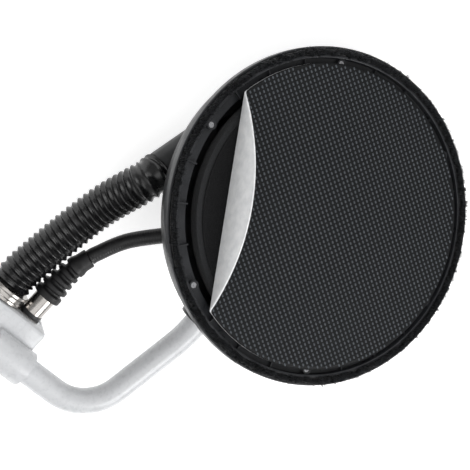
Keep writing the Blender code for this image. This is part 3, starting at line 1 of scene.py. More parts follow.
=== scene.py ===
# %% [markdown]
# # A long-reach drywall sander, laid down for a disc change
# The tool is a pole with a motor at one end and a round, tilting sanding head at the other.
# A fixed model holds every size and joint. This script gives the pieces their real surface:
# it loads that model, makes each visible piece again in finer form where it needs it, and
# gives every piece a finish made of shader nodes. Nothing here moves a fixed piece.

# %% Load the fixed frame
import json
import math

import bmesh
import bpy
import numpy as np
from mathutils import Matrix, Vector

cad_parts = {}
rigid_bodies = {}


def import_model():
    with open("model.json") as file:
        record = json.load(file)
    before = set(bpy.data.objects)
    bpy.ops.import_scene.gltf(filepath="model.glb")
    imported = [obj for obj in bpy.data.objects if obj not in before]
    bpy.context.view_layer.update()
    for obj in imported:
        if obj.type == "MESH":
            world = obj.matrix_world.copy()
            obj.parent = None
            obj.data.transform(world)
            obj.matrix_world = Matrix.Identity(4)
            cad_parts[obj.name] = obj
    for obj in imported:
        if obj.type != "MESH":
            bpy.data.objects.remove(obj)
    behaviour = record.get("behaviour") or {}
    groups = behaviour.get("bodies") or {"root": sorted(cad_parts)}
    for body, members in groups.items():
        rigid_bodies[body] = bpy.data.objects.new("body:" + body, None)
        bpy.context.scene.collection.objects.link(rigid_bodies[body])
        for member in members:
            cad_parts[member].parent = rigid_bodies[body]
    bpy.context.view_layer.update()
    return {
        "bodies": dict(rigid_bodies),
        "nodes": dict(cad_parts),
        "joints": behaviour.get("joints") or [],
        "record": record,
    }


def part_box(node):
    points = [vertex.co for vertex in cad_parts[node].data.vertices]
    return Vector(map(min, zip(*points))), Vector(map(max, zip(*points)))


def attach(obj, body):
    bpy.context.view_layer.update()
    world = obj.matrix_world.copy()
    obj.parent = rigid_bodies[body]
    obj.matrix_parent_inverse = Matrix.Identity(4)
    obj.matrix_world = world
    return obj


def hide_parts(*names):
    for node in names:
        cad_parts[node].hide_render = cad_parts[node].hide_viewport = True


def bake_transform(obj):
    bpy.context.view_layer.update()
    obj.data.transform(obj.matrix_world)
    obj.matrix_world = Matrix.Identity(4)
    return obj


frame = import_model()
NODES = frame["nodes"]
JOINTS = {joint["name"]: joint for joint in frame["joints"]}
MM = 0.001

# %% [markdown]
# ## The head's own frame
# The head lies tilted, so its round pieces are simplest in a frame of their own: the origin on
# the tilt axis, Z along the spindle towards the abrasive, Y along the tilt axis. A point there
# becomes a point of the tool with one matrix.

# %% The head frame and sizes read from the fixed pieces


def new_object(name, data):
    """An object in the scene, at the origin."""
    made = bpy.data.objects.new(name, data)
    bpy.context.collection.objects.link(made)
    return made


def frame_matrix(origin, x_axis, y_axis, z_axis):
    axes = Matrix((x_axis, y_axis, z_axis)).transposed().to_4x4()
    return Matrix.Translation(origin) @ axes


SPIN = Vector(JOINTS["pad_spin"]["axis"]).normalized()
TILT = Vector(JOINTS["head_tilt"]["axis"]).normalized()
PIVOT = Vector(JOINTS["pad_spin"]["pos_m"])
HEAD = frame_matrix(PIVOT, TILT.cross(SPIN).normalized(), TILT, SPIN)


def node_points(node, place):
    """A node's corners in the frame that the matrix places."""
    source = NODES[node].data
    corners = np.empty(len(source.vertices) * 3)
    source.vertices.foreach_get("co", corners)
    back = np.array(place.inverted())
    return corners.reshape(-1, 3) @ back[:3, :3].T + back[:3, 3]


def reach(node, place=HEAD):
    """Smallest and largest radius, lowest and highest height of a node about the frame's Z."""
    points = node_points(node, place)
    radii = np.hypot(points[:, 0], points[:, 1])
    return radii.min(), radii.max(), points[:, 2].min(), points[:, 2].max()


def along_x(node):
    """The frame of a round piece that lies along the pole: Z along X, on the piece's axis."""
    low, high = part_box(node)
    centre = (Vector(low) + Vector(high)) / 2
    centre.x = 0
    return frame_matrix(centre, Vector((0, 1, 0)), Vector((0, 0, 1)), Vector((1, 0, 0)))


for part in ("shroud", "skirt_ring", "bristle_ring", "foam_pad", "hook_face", "abrasive_disc"):
    print(part, [round(value / MM, 1) for value in reach(part)])

# %% [markdown]
# ## Camera, floor and light
# The camera looks down on the head from a little behind it, with the pole running off to the
# lower left. The floor is a plain pale sheet that glows a little, so that it stays white under
# weak light. Large soft lights stand round it, as in a studio, and black rubber shows its form
# by their highlights. The Standard view transform keeps white white and black black.

# %% Camera
CAMERA_FROM_PIVOT = Vector((0.0101, 0.3746, 0.8405))
CAMERA_BACK = Vector((0.05924, 0.38251, 0.92205))
CAMERA_UP = Vector((0.73389, 0.60944, -0.29998))
CAMERA_LENS = 91.9
CAMERA_NEAR = 0.02


def stand_camera():
    back = CAMERA_BACK.normalized()
    right = CAMERA_UP.cross(back).normalized()
    data = bpy.data.cameras.new("studio_camera")
    data.lens = CAMERA_LENS
    data.clip_start = CAMERA_NEAR
    camera = new_object("studio_camera", data)
    camera.matrix_world = frame_matrix(PIVOT + CAMERA_FROM_PIVOT, right, back.cross(right), back)
    bpy.context.scene.camera = camera


stand_camera()

# %% Floor and lights
FLOOR_HALF = 6.0
FLOOR_WHITE, FLOOR_ROUGHNESS, FLOOR_GLOW = 0.95, 0.7, 0.55
AIR_LIGHT = 0.4
WHITE = (1.0, 1.0, 1.0, 1.0)
LIGHTS = {
    "key_light": (Vector((0.75, -1.25, 1.15)), 0.9, 15.0),
    "fill_light": (Vector((-0.35, 0.95, 1.5)), 1.4, 6.0),
    "top_light": (Vector((0.55, 0.1, 2.1)), 1.6, 9.0),
    "rim_light": (Vector((2.3, 0.3, 0.8)), 0.8, 6.0),
}


def lay_floor():
    mesh = bpy.data.meshes.new("studio_floor")
    half = FLOOR_HALF
    corners = [(-half, -half, 0), (half, -half, 0), (half, half, 0), (-half, half, 0)]
    mesh.from_pydata(corners, [], [(0, 1, 2, 3)])
    floor = new_object("studio_floor", mesh)
    sheet = bpy.data.materials.new("floor_white")
    sheet.use_nodes = True
    shader = sheet.node_tree.nodes["Principled BSDF"]
    shader.inputs["Base Color"].default_value = (FLOOR_WHITE, FLOOR_WHITE, FLOOR_WHITE, 1)
    shader.inputs["Roughness"].default_value = FLOOR_ROUGHNESS
    shader.inputs["Emission Color"].default_value = WHITE
    shader.inputs["Emission Strength"].default_value = FLOOR_GLOW
    mesh.materials.append(sheet)


def hang_light(name, place, size, power):
    data = bpy.data.lights.new(name, "AREA")
    data.size = size
    data.energy = power
    light = new_object(name, data)
    light.location = place
    light.rotation_euler = (place - PIVOT).to_track_quat("Z", "Y").to_euler()


lay_floor()
for light_name, (light_place, light_size, light_power) in LIGHTS.items():
    hang_light(light_name, light_place, light_size, light_power)
bpy.context.scene.view_settings.view_transform = "Standard"
world = bpy.data.worlds.new("studio_air")
world.use_nodes = True
air = world.node_tree.nodes["Background"].inputs
air["Color"].default_value = WHITE
air["Strength"].default_value = AIR_LIGHT
bpy.context.scene.world = world
print(len(LIGHTS), "lights over a floor", 2 * FLOOR_HALF, "m across")

# %% [markdown]
# ## Finishes
# Every finish is one small shader tree. It reads object coordinates, which are metres in the
# tool's own frame, so a grain of half a millimetre is a noise of that size on every piece.
# A moulded plastic is mostly its fine spark-eroded grain, a paint its orange peel, a rubber its
# dust and a soft waviness. `Finish` keeps the node wiring short.

# %% A short way to wire a shader


class Finish:
    """One material: a Principled shader, and the textures that feed it."""

    def __init__(self, name, colour, roughness, metallic=0.0):
        self.material = bpy.data.materials.new(name)
        self.material.use_nodes = True
        self.tree = self.material.node_tree
        self.shader = self.tree.nodes["Principled BSDF"]
        self.set("Base Color", (*colour, 1.0))
        self.set("Roughness", roughness)
        self.set("Metallic", metallic)
        self.where = self.node("ShaderNodeTexCoord").outputs["Object"]
        self.normal = None

    def set(self, socket, value):
        self.shader.inputs[socket].default_value = value

    def node(self, kind, inputs=(), **settings):
        made = self.tree.nodes.new(kind)
        for key, value in settings.items():
            setattr(made, key, value)
        for socket, value in dict(inputs).items():
            if isinstance(value, bpy.types.NodeSocket):
                self.tree.links.new(value, made.inputs[socket])
            else:
                made.inputs[socket].default_value = value
        return made

    def feed(self, socket, source):
        self.tree.links.new(source, self.shader.inputs[socket])

    def stretched(self, scale):
        """Object coordinates stretched along an axis, for a brushed or drawn surface."""
        return self.node("ShaderNodeMapping", {"Vector": self.where, "Scale": scale}).outputs["Vector"]

    def noise(self, size, detail=3.0, where=None):
        """A noise whose features are about this many metres across."""
        wiring = {"Vector": where or self.where, "Scale": 1.0 / size, "Detail": detail}
        return self.node("ShaderNodeTexNoise", wiring).outputs["Fac"]

    def cells(self, size):
        wiring = {"Vector": self.where, "Scale": 1.0 / size}
        return self.node("ShaderNodeTexVoronoi", wiring).outputs["Distance"]

    def ramp(self, source, low, high, at_low=0.35, at_high=0.65):
        """Two colours, or two greys, mixed by a texture."""
        made = self.node("ShaderNodeValToRGB", {"Fac": source})
        for element, place, value in zip(made.color_ramp.elements, (at_low, at_high), (low, high)):
            element.position = place
            element.color = (*value, 1.0) if isinstance(value, tuple) else (value, value, value, 1.0)
        return made.outputs["Color"]

    def relief(self, source, depth):
        """Lets a texture raise the surface by this many metres."""
        wiring = {"Height": source, "Distance": depth, "Strength": 1.0}
        if self.normal is not None:
            wiring["Normal"] = self.normal
        self.normal = self.node("ShaderNodeBump", wiring).outputs["Normal"]
        self.feed("Normal", self.normal)
        return self


# %% Moulded plastics and rubbers


def moulded(name, colour, roughness, grain=0.5 * MM, depth=0.035 * MM):
    """Plastic from a spark-eroded mould: a fine even grain, rubbed smoother in patches."""
    finish = Finish(name, colour, roughness)
    finish.set("Specular IOR Level", 0.4)
    finish.feed("Roughness", finish.ramp(finish.noise(9 * MM), roughness - 0.07, roughness + 0.08))
    lighter = tuple(min(1.0, 1.35 * part + 0.004) for part in colour)
    finish.feed("Base Color", finish.ramp(finish.noise(14 * MM, 5.0), colour, lighter))
    return finish.relief(finish.noise(grain, 2.0), depth)


def rubber(name, colour, roughness):
    """Soft rubber: duller, with dust in its pores and a soft waviness."""
    finish = moulded(name, colour, roughness, 0.8 * MM, 0.03 * MM)
    finish.set("Specular IOR Level", 0.38)
    return finish.relief(finish.noise(5 * MM), 0.08 * MM)


BLACK_PLASTIC = moulded("black_plastic", (0.010, 0.0105, 0.0115), 0.42)
RIM_PLASTIC = moulded("rim_plastic", (0.017, 0.018, 0.0205), 0.34, 0.9 * MM, 0.09 * MM)
GREY_PLASTIC = moulded("grey_plastic", (0.085, 0.09, 0.098), 0.42)
SWITCH_PLASTIC = moulded("switch_plastic", (0.42, 0.025, 0.018), 0.28, 0.3 * MM, 0.01 * MM)
BLACK_RUBBER = rubber("black_rubber", (0.006, 0.006, 0.0065), 0.5)
SLEEVE_RUBBER = rubber("sleeve_rubber", (0.006, 0.006, 0.0065), 0.4)

# %% Metals and paint


def drawn_metal(name, colour, roughness, along, depth=0.012 * MM):
    """Metal brushed or drawn along one axis: long fine scratches that spread the highlight."""
    finish = Finish(name, colour, roughness, 1.0)
    stretch = tuple(0.02 if axis == along else 1.0 for axis in "XYZ")
    scratches = finish.noise(0.35 * MM, 4.0, finish.stretched(stretch))
    finish.feed("Roughness", finish.ramp(scratches, roughness - 0.06, roughness + 0.1))
    dull = tuple(0.92 * part for part in colour)
    finish.feed("Base Color", finish.ramp(finish.noise(20 * MM), colour, dull))
    return finish.relief(scratches, depth)


def powder_coat(name, colour, roughness):
    """Stoved powder paint: orange peel, a few dirty marks and a clear gloss."""
    finish = Finish(name, colour, roughness)
    finish.set("Coat Weight", 0.25)
    finish.set("Coat Roughness", 0.2)
    marks = finish.noise(7 * MM, 8.0)
    dull = tuple(0.9 * part for part in colour)
    finish.feed("Base Color", finish.ramp(marks, dull, colour, 0.3, 0.5))
    finish.feed("Roughness", finish.ramp(finish.noise(3 * MM), roughness - 0.06, roughness + 0.08))
    return finish.relief(finish.noise(1.6 * MM, 2.0), 0.05 * MM)


TUBE_ALLOY = drawn_metal("tube_alloy", (0.6, 0.61, 0.62), 0.32, "X")
STEEL = drawn_metal("ground_steel", (0.56, 0.56, 0.58), 0.28, "Z")
CHROME = drawn_metal("bright_chrome", (0.42, 0.40, 0.38), 0.2, "Y", 0.004 * MM)
BRONZE = drawn_metal("bush_bronze", (0.62, 0.42, 0.2), 0.34, "X")
IRON = drawn_metal("core_iron", (0.2, 0.19, 0.18), 0.45, "X")
CAST_ALLOY = powder_coat("cast_alloy", (0.42, 0.43, 0.44), 0.42)
WHITE_PAINT = powder_coat("white_paint", (0.64, 0.65, 0.665), 0.3)
BLACK_PAINT = powder_coat("black_paint", (0.02, 0.021, 0.023), 0.36)

# %% [markdown]
# ## Making pieces
# Three ways make nearly everything. A round piece is a profile carried round or along an axis.
# A bracket or a casting starts as a merged copy of its fixed solid and gets rounded edges from
# a Bevel modifier. What repeats, such as bristles, ribs and screws, is made by Geometry Nodes.

# %% Meshes from points
SMOOTH_BELOW = math.radians(32)


def as_piece(name, mesh, *finishes):
    """A mesh as an object at the origin, smooth between faces that meet gently."""
    for finish in finishes:
        mesh.materials.append(finish.material)
    mesh.shade_smooth()
    mesh.set_sharp_from_angle(angle=SMOOTH_BELOW)
    return new_object(name, mesh)


def facing_out(mesh, merge=0.01 * MM):
    """Merges doubled corners and turns every face outwards."""
    work = bmesh.new()
    work.from_mesh(mesh)
    bmesh.ops.remove_doubles(work, verts=work.verts, dist=merge)
    bmesh.ops.recalc_face_normals(work, faces=work.faces)
    work.to_mesh(mesh)
    work.free()
    return mesh


def rounded(profile, radius, steps=4):
    """A closed outline of (radius, height) points with its corners rounded."""
    shortest = 0.02 * MM
    outline = []
    for before, corner, after in zip(profile[-1:] + profile[:-1], profile, profile[1:] + profile[:1]):
        corner, before, after = Vector(corner), Vector(before), Vector(after)
        back, ahead = before - corner, after - corner
        trim = min(radius, 0.45 * back.length, 0.45 * ahead.length)
        if corner.x == 0 or trim < shortest:
            outline.append(corner)
            continue
        first = corner + back.normalized() * trim
        last = corner + ahead.normalized() * trim
        for step in range(steps + 1):
            share = step / steps
            outline.append(first.lerp(corner, share).lerp(corner.lerp(last, share), share))
    return outline


def turns(around):
    return [2 * math.pi * i / around for i in range(around)]


def ring_skin(name, rings, finish):
    """Joins each ring of points to the next, and the last to the first."""
    around, rows = len(rings[0]), len(rings)
    faces = [
        (row * around + i, row * around + (i + 1) % around,
         (row + 1) % rows * around + (i + 1) % around, (row + 1) % rows * around + i)
        for row in range(rows) for i in range(around)
    ]
    mesh = bpy.data.meshes.new(name)
    mesh.from_pydata([point for ring in rings for point in ring], [], faces)
    return as_piece(name, facing_out(mesh), finish)


def lathe(name, profile, place, finish, around=96, edge=0.5 * MM):
    """Turns a profile of (radius, height) points about the Z of a frame."""
    outline = rounded(profile, edge) if edge else [Vector(point) for point in profile]
    rings = [[place @ Vector((p.x * math.cos(a), p.x * math.sin(a), p.y)) for a in turns(around)]
             for p in outline]
    return ring_skin(name, rings, finish)


def smooth_edges(made, below=SMOOTH_BELOW):
    made.data.shade_smooth()
    made.data.set_sharp_from_angle(angle=below)
    return made


def evaluated_copy(made):
    """The object as its modifiers show it, as a plain mesh without them."""
    bpy.context.view_layer.update()
    view = made.evaluated_get(bpy.context.evaluated_depsgraph_get())
    plain = bpy.data.meshes.new_from_object(view)
    made.modifiers.clear()
    made.data = plain
    return made


FLAT_WITHIN = math.radians(0.8)
BEVEL_ABOVE = math.radians(40)


def finer(node, finish, edge, steps=3):
    """A fixed solid again, with its edges rounded: merged, cleaned and bevelled."""
    mesh = NODES[node].data.copy()
    mesh.materials.clear()
    work = bmesh.new()
    work.from_mesh(mesh)
    bmesh.ops.remove_doubles(work, verts=work.verts, dist=0.005 * MM)
    bmesh.ops.dissolve_limit(work, angle_limit=FLAT_WITHIN, verts=work.verts, edges=work.edges)
    work.to_mesh(mesh)
    work.free()
    made = as_piece(f"{node}_body", mesh, finish)
    bevel = made.modifiers.new("rounded_edges", "BEVEL")
    bevel.width = edge
    bevel.segments = steps
    bevel.limit_method = "ANGLE"
    bevel.angle_limit = BEVEL_ABOVE
    return stands_for(smooth_edges(evaluated_copy(made), BEVEL_ABOVE), node)


BODY_OF = {node: body for body, nodes in frame["record"]["behaviour"]["bodies"].items() for node in nodes}


def stands_for(made, *nodes):
    """The piece replaces these fixed nodes, and takes their body."""
    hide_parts(*nodes)
    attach(made, BODY_OF[nodes[0]])
    return made


def detail_of(made, node):
    """The piece is an added detail on a fixed node, and moves with it."""
    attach(made, BODY_OF[node])
    return made


# %% A short way to build a Geometry Nodes tree


class Tree:
    """A Geometry Nodes tree: named inputs, and nodes wired as they are added."""

    def __init__(self, name, **inputs):
        self.group = bpy.data.node_groups.new(name, "GeometryNodeTree")
        face = self.group.interface
        face.new_socket("Geometry", in_out="OUTPUT", socket_type="NodeSocketGeometry")
        face.new_socket("Geometry", in_out="INPUT", socket_type="NodeSocketGeometry")
        for label, value in inputs.items():
            kind = "NodeSocketInt" if isinstance(value, int) else "NodeSocketFloat"
            face.new_socket(label, in_out="INPUT", socket_type=kind).default_value = value
        self.inlet = self.group.nodes.new("NodeGroupInput").outputs

    def node(self, kind, inputs=(), **settings):
        made = self.group.nodes.new(kind)
        for key, value in settings.items():
            setattr(made, key, value)
        for socket, value in dict(inputs).items():
            if isinstance(value, bpy.types.NodeSocket):
                self.group.links.new(value, made.inputs[socket])
            else:
                made.inputs[socket].default_value = value
        return made.outputs

    def math(self, operation, first, second=0.0):
        return self.node("ShaderNodeMath", {0: first, 1: second}, operation=operation)[0]

    def random(self, low, high, seed):
        """One number for each point. The node has a set of sockets for each kind of value."""
        wiring = {"Min": low, "Max": high, "Seed": seed}
        found = self.group.nodes.new("FunctionNodeRandomValue")
        found.data_type = "FLOAT"
        live = {socket.name: socket for socket in found.inputs if socket.enabled}
        for label, value in wiring.items():
            if isinstance(value, bpy.types.NodeSocket):
                self.group.links.new(value, live[label])
            else:
                live[label].default_value = value
        return next(socket for socket in found.outputs if socket.enabled)

    def vector(self, x=0.0, y=0.0, z=0.0):
        return self.node("ShaderNodeCombineXYZ", {"X": x, "Y": y, "Z": z})[0]

    def finish(self, geometry, finish):
        """Every tree ends alike: instances made real, and the material set."""
        real = self.node("GeometryNodeRealizeInstances", {"Geometry": geometry})[0]
        painted = self.node("GeometryNodeSetMaterial", {"Geometry": real, "Material": finish.material})[0]
        outlet = self.group.nodes.new("NodeGroupOutput")
        self.group.links.new(painted, outlet.inputs[0])


def grow(name, tree, finish, place=Matrix(), base=None, **sizes):
    """Runs a tree on an object, and keeps what it made as a plain mesh in the tool's frame."""
    made = base or new_object(name, bpy.data.meshes.new(name))
    modifier = made.modifiers.new("tree", "NODES")
    modifier.node_group = tree.group
    for socket in tree.group.interface.items_tree:
        if socket.in_out == "INPUT" and socket.name in sizes:
            modifier[socket.identifier] = sizes[socket.name]
    bpy.context.view_layer.update()
    view = made.evaluated_get(bpy.context.evaluated_depsgraph_get())
    plain = bpy.data.meshes.new_from_object(view)
    bpy.data.objects.remove(made)
    plain.transform(place)
    if not plain.materials:
        plain.materials.append(finish.material)
    print(name, len(plain.polygons), "faces")
    return new_object(name, plain)


def on_circle(tree, angle, radius):
    """A place at an angle round the spindle."""
    east = tree.math("MULTIPLY", tree.math("COSINE", angle), radius)
    return tree.vector(east, tree.math("MULTIPLY", tree.math("SINE", angle), radius))


# %% [markdown]
# ## The shroud and the brush skirt
# The shroud is a shallow dish moulded in black plastic. A skirt ring is screwed round its rim:
# two thin walls with a slot between them that holds the brush, and inside it a flange with six
# screw posts and thin ribs between the posts. The dish and the ring are turned from their
# outlines; posts, ribs and screws repeat round the spindle, so a tree places them.

# %% Shroud and skirt ring
RIM_AROUND = 192
SHROUD_WALL = 3.0 * MM
SHROUD_EDGE = 3.0 * MM
SHROUD_TAPER = 5.0 * MM
SLOT_IN, SLOT_OUT = 118.6 * MM, 122.7 * MM
INNER_WALL_R = 116.4 * MM
SKIRT_FLOOR_T = 2.0 * MM
BRISTLES_OVER_RIM = 5.0 * MM
PORT_CENTRE = Vector((8.0, 88.0, 0.0)) * MM
PORT_BORE_R = 12.5 * MM
INNER_RIM_OVER = 0.5 * MM

neck_r, shroud_r, shroud_back, shroud_top = reach("shroud")
flange_r, skirt_r, skirt_base = reach("skirt_ring")[:3]
bristle_tip = reach("bristle_ring")[3]
rim_top = bristle_tip - BRISTLES_OVER_RIM
slot_floor = skirt_base + SKIRT_FLOOR_T


def make_shroud():
    floor = shroud_back + SHROUD_WALL
    back_r = shroud_r - SHROUD_TAPER
    flange_under = shroud_top - SHROUD_WALL
    dish = lathe("shroud_dish", [
        (neck_r, shroud_back),
        (back_r - SHROUD_EDGE, shroud_back),
        (back_r, shroud_back + SHROUD_EDGE),
        (shroud_r, shroud_top),
        (flange_r, shroud_top),
        (flange_r, flange_under),
        (shroud_r - SHROUD_WALL, flange_under),
        (back_r - SHROUD_WALL, floor),
        (neck_r, floor),
    ], HEAD, BLACK_PLASTIC, RIM_AROUND, 1.6 * MM)
    hole = lathe("port_hole_tool", [
        (0, -SHROUD_WALL),
        (PORT_BORE_R, -SHROUD_WALL),
        (PORT_BORE_R, 2 * SHROUD_WALL),
        (0, 2 * SHROUD_WALL),
    ], HEAD @ Matrix.Translation(PORT_CENTRE + Vector((0, 0, shroud_back))), BLACK_PLASTIC, 48, 0)
    opening = dish.modifiers.new("port_hole", "BOOLEAN")
    opening.operation = "DIFFERENCE"
    opening.object = hole
    evaluated_copy(dish)
    bpy.data.objects.remove(hole)
    stands_for(smooth_edges(dish), "shroud")


def make_skirt_ring():
    ring = lathe("skirt_rim", [
        (flange_r, skirt_base),
        (skirt_r, skirt_base),
        (skirt_r, rim_top),
        (SLOT_OUT, rim_top),
        (SLOT_OUT, slot_floor),
        (SLOT_IN, slot_floor),
        (SLOT_IN, rim_top + INNER_RIM_OVER),
        (INNER_WALL_R, rim_top + INNER_RIM_OVER),
        (INNER_WALL_R, slot_floor),
        (flange_r, slot_floor),
    ], HEAD, RIM_PLASTIC, RIM_AROUND, 0.6 * MM)
    stands_for(ring, "skirt_ring")


make_shroud()
make_skirt_ring()

# %% Posts, ribs and screws in the channel
POSTS = 6
FIRST_POST = math.radians(33.0)
POST_CIRCLE_R = 112.9 * MM
POST_R, POST_BORE_R = 3.5 * MM, 2.3 * MM
POST_TOP = slot_floor + 3.5 * MM
RIBS_BETWEEN_POSTS = 3
RIB_T, RIB_H = 1.1 * MM, 2.8 * MM
SCREW_HEAD = (2.1 * MM, 1.5 * MM, 1.1 * MM)
SCREW_RISE = 1.3 * MM


def ring_tree(name, shape, finish):
    """A tree that copies one shape round the spindle, each copy turned to face outwards."""
    tree = Tree(name, Count=1, Radius=0.1, First=0.0)
    points = tree.node("GeometryNodePoints", {"Count": tree.inlet["Count"]})[0]
    index = tree.node("GeometryNodeInputIndex")[0]
    step = tree.math("DIVIDE", 2 * math.pi, tree.inlet["Count"])
    angle = tree.math("ADD", tree.math("MULTIPLY", index, step), tree.inlet["First"])
    placed = tree.node("GeometryNodeSetPosition", {
        "Geometry": points, "Position": on_circle(tree, angle, tree.inlet["Radius"])})[0]
    copies = tree.node("GeometryNodeInstanceOnPoints", {
        "Points": placed, "Instance": shape(tree), "Rotation": tree.vector(0, 0, angle)})[0]
    tree.finish(copies, finish)
    return tree


def raised(tree, shape, height):
    return tree.node("GeometryNodeTransform", {"Geometry": shape, "Translation": (0, 0, height)})[0]


def post_shape(tree):
    """A tube: a square section swept round a circle."""
    middle = (POST_R + POST_BORE_R) / 2
    ring = tree.node("GeometryNodeCurvePrimitiveCircle", {"Resolution": 24, "Radius": middle})[0]
    section = tree.node("GeometryNodeCurvePrimitiveQuadrilateral", {
        "Width": POST_R - POST_BORE_R, "Height": POST_TOP - slot_floor})[0]
    tube = tree.node("GeometryNodeCurveToMesh", {"Curve": ring, "Profile Curve": section})[0]
    return raised(tree, tube, (POST_TOP - slot_floor) / 2)


def rib_shape(tree):
    size = (INNER_WALL_R - flange_r, RIB_T, RIB_H)
    return raised(tree, tree.node("GeometryNodeMeshCube", {"Size": size})[0], RIB_H / 2)


def screw_shape(tree):
    """A low screw head with a six-sided drive."""
    radius, height, drive_r = SCREW_HEAD
    head, drive = (
        tree.node("GeometryNodeMeshCylinder", {"Vertices": sides, "Radius": size, "Depth": height})[0]
        for sides, size in ((24, radius), (6, drive_r)))
    sunk = {"Mesh 1": head, "Mesh 2": raised(tree, drive, height / 2)}
    return raised(tree, tree.node("GeometryNodeMeshBoolean", sunk, operation="DIFFERENCE")[0], height / 2)


def around_head(name, shape, finish, height, radius, first=FIRST_POST):
    """Copies in a ring round the spindle, one for each post, at a height on it."""
    tree = ring_tree(f"{name}_tree", shape, finish)
    place = HEAD @ Matrix.Translation((0, 0, height))
    return grow(name, tree, finish, place, Count=POSTS, Radius=radius, First=first)


posts = around_head("skirt_posts", post_shape, RIM_PLASTIC, slot_floor, POST_CIRCLE_R)
detail_of(smooth_edges(posts), "skirt_ring")
rib_step = 2 * math.pi / POSTS / (RIBS_BETWEEN_POSTS + 1)
for number in range(1, RIBS_BETWEEN_POSTS + 1):
    ribs = around_head(f"skirt_ribs_{number}", rib_shape, RIM_PLASTIC, slot_floor,
                       (INNER_WALL_R + flange_r) / 2, FIRST_POST + number * rib_step)
    detail_of(ribs, "skirt_ring")
screws = around_head("skirt_screws", screw_shape, STEEL, slot_floor + SCREW_RISE, POST_CIRCLE_R)
stands_for(smooth_edges(screws), *[f"skirt_screw_{number}" for number in range(1, POSTS + 1)])

# %% [markdown]
# ## The brush
# The brush keeps dust under the head. It is thousands of stiff black nylon bristles, packed in
# tufts, so it looks neither like a solid ring nor like fur. Each bristle is a thin three-sided
# spike on a random point of the slot, and a coarse noise leans neighbours the same way, which
# makes the tufts. A finer noise makes single hairs stray.

# %% Bristles
BRISTLE_COUNT = 15000
BRISTLE_R = 0.21 * MM
BRISTLE_SEED = 7
TUFTS_PER_METRE, TUFT_LEAN, STRAY_LEAN = 260.0, 0.9, 0.16
SHORTEST_SHARE = 0.86


def bristle_finish():
    """Black nylon: glossy, and paler at the tips: partly worn and dusty hairs, partly a painted highlight
    where the tips catch the light.
    """
    finish = Finish("black_bristle", (0.014, 0.014, 0.015), 0.34)
    height = finish.node("ShaderNodeVectorMath", {0: finish.where, 1: tuple(SPIN)}, operation="DOT_PRODUCT")
    base = PIVOT.dot(SPIN)
    along = finish.node("ShaderNodeMapRange", {
        "Value": height.outputs["Value"], "From Min": base + rim_top - 1.0 * MM,
        "From Max": base + bristle_tip}).outputs["Result"]
    hairs = finish.noise(0.9 * MM, 2.0)
    # The pale tips are partly dust and wear and partly a painted highlight, rising with height up each
    # hair.
    dusty_lit_tips = finish.node("ShaderNodeMath", {0: along, 1: hairs}, operation="MULTIPLY").outputs[0]
    finish.feed("Base Color", finish.ramp(dusty_lit_tips, (0.006, 0.006, 0.0065), (0.2, 0.21, 0.225), 0.2, 0.75))
    return finish


def bristle_tree(finish):
    tree = Tree("bristle_tree", Count=100, Inner=0.1, Outer=0.1, Length=0.01, Thickness=0.0002, Seed=0)
    seed = tree.inlet["Seed"]
    points = tree.node("GeometryNodePoints", {"Count": tree.inlet["Count"]})[0]
    angle = tree.random(0.0, 2 * math.pi, seed)
    radius = tree.random(tree.inlet["Inner"], tree.inlet["Outer"], tree.math("ADD", seed, 1))
    placed = tree.node("GeometryNodeSetPosition", {
        "Geometry": points, "Position": on_circle(tree, angle, radius)})[0]
    where = tree.node("GeometryNodeInputPosition")[0]
    tufts = tree.node("ShaderNodeTexNoise", {
        "Vector": where, "Scale": TUFTS_PER_METRE, "Detail": 1.0})[1]
    parts = tree.node("ShaderNodeSeparateXYZ", {0: tufts})
    leans = []
    for axis in (0, 1):
        tuft = tree.math("MULTIPLY", tree.math("SUBTRACT", parts[axis], 0.5), TUFT_LEAN)
        stray = tree.random(-STRAY_LEAN, STRAY_LEAN, tree.math("ADD", seed, 2 + axis))
        leans.append(tree.math("ADD", tuft, stray))
    spike = tree.node("GeometryNodeMeshCone", {
        "Vertices": 3, "Radius Top": 0.45, "Radius Bottom": 1.0, "Depth": 1.0}, fill_type="NONE")[0]
    share = tree.random(SHORTEST_SHARE, 1.0, tree.math("ADD", seed, 4))
    length = tree.math("MULTIPLY", tree.inlet["Length"], share)
    thin = tree.inlet["Thickness"]
    copies = tree.node("GeometryNodeInstanceOnPoints", {
        "Points": placed, "Instance": spike, "Rotation": tree.vector(leans[0], leans[1], angle),
        "Scale": tree.vector(thin, thin, length)})[0]
    tree.finish(copies, finish)
    return tree


BRISTLE = bristle_finish()
bristle_length = bristle_tip - slot_floor
slot_place = HEAD @ Matrix.Translation((0, 0, slot_floor))
bristles = grow("brush_bristles", bristle_tree(BRISTLE), BRISTLE, slot_place, Count=BRISTLE_COUNT,
                Inner=SLOT_IN + BRISTLE_R, Outer=SLOT_OUT - BRISTLE_R, Length=bristle_length,
                Thickness=BRISTLE_R, Seed=BRISTLE_SEED)
bristles.data.shade_smooth()
stands_for(bristles, "bristle_ring")
core_space = 0.2 * MM
brush_core = lathe("brush_core", [
    (SLOT_IN + core_space, slot_floor + core_space / 2),
    (SLOT_OUT - core_space, slot_floor + core_space / 2),
    (SLOT_OUT - core_space, rim_top + core_space),
    (SLOT_IN + core_space, rim_top + core_space),
], HEAD, BRISTLE)
detail_of(brush_core, "bristle_ring")

# %% [markdown]
# ## Backing, foam and hook face
# The abrasive is held by hooks. A stiff backing plate carries a soft foam ring, and on the foam
# is glued a thin face of tiny plastic hooks. The foam is padded: its side bulges a little
# between the two glue lines. The hooks are too many to model under the disc, so they are only
# grown on the strip that the peeled disc lays bare.

# %% Backing plate and foam
foam_in, foam_r, foam_low, foam_high = reach("foam_pad")
hook_r, hook_low, hook_high = reach("hook_face")[1:]
disc_r, disc_low, disc_high = reach("abrasive_disc")[1:]
CREASE_DISTANCE = 80.9 * MM
CREASE_AZIMUTH = math.radians(120.0)


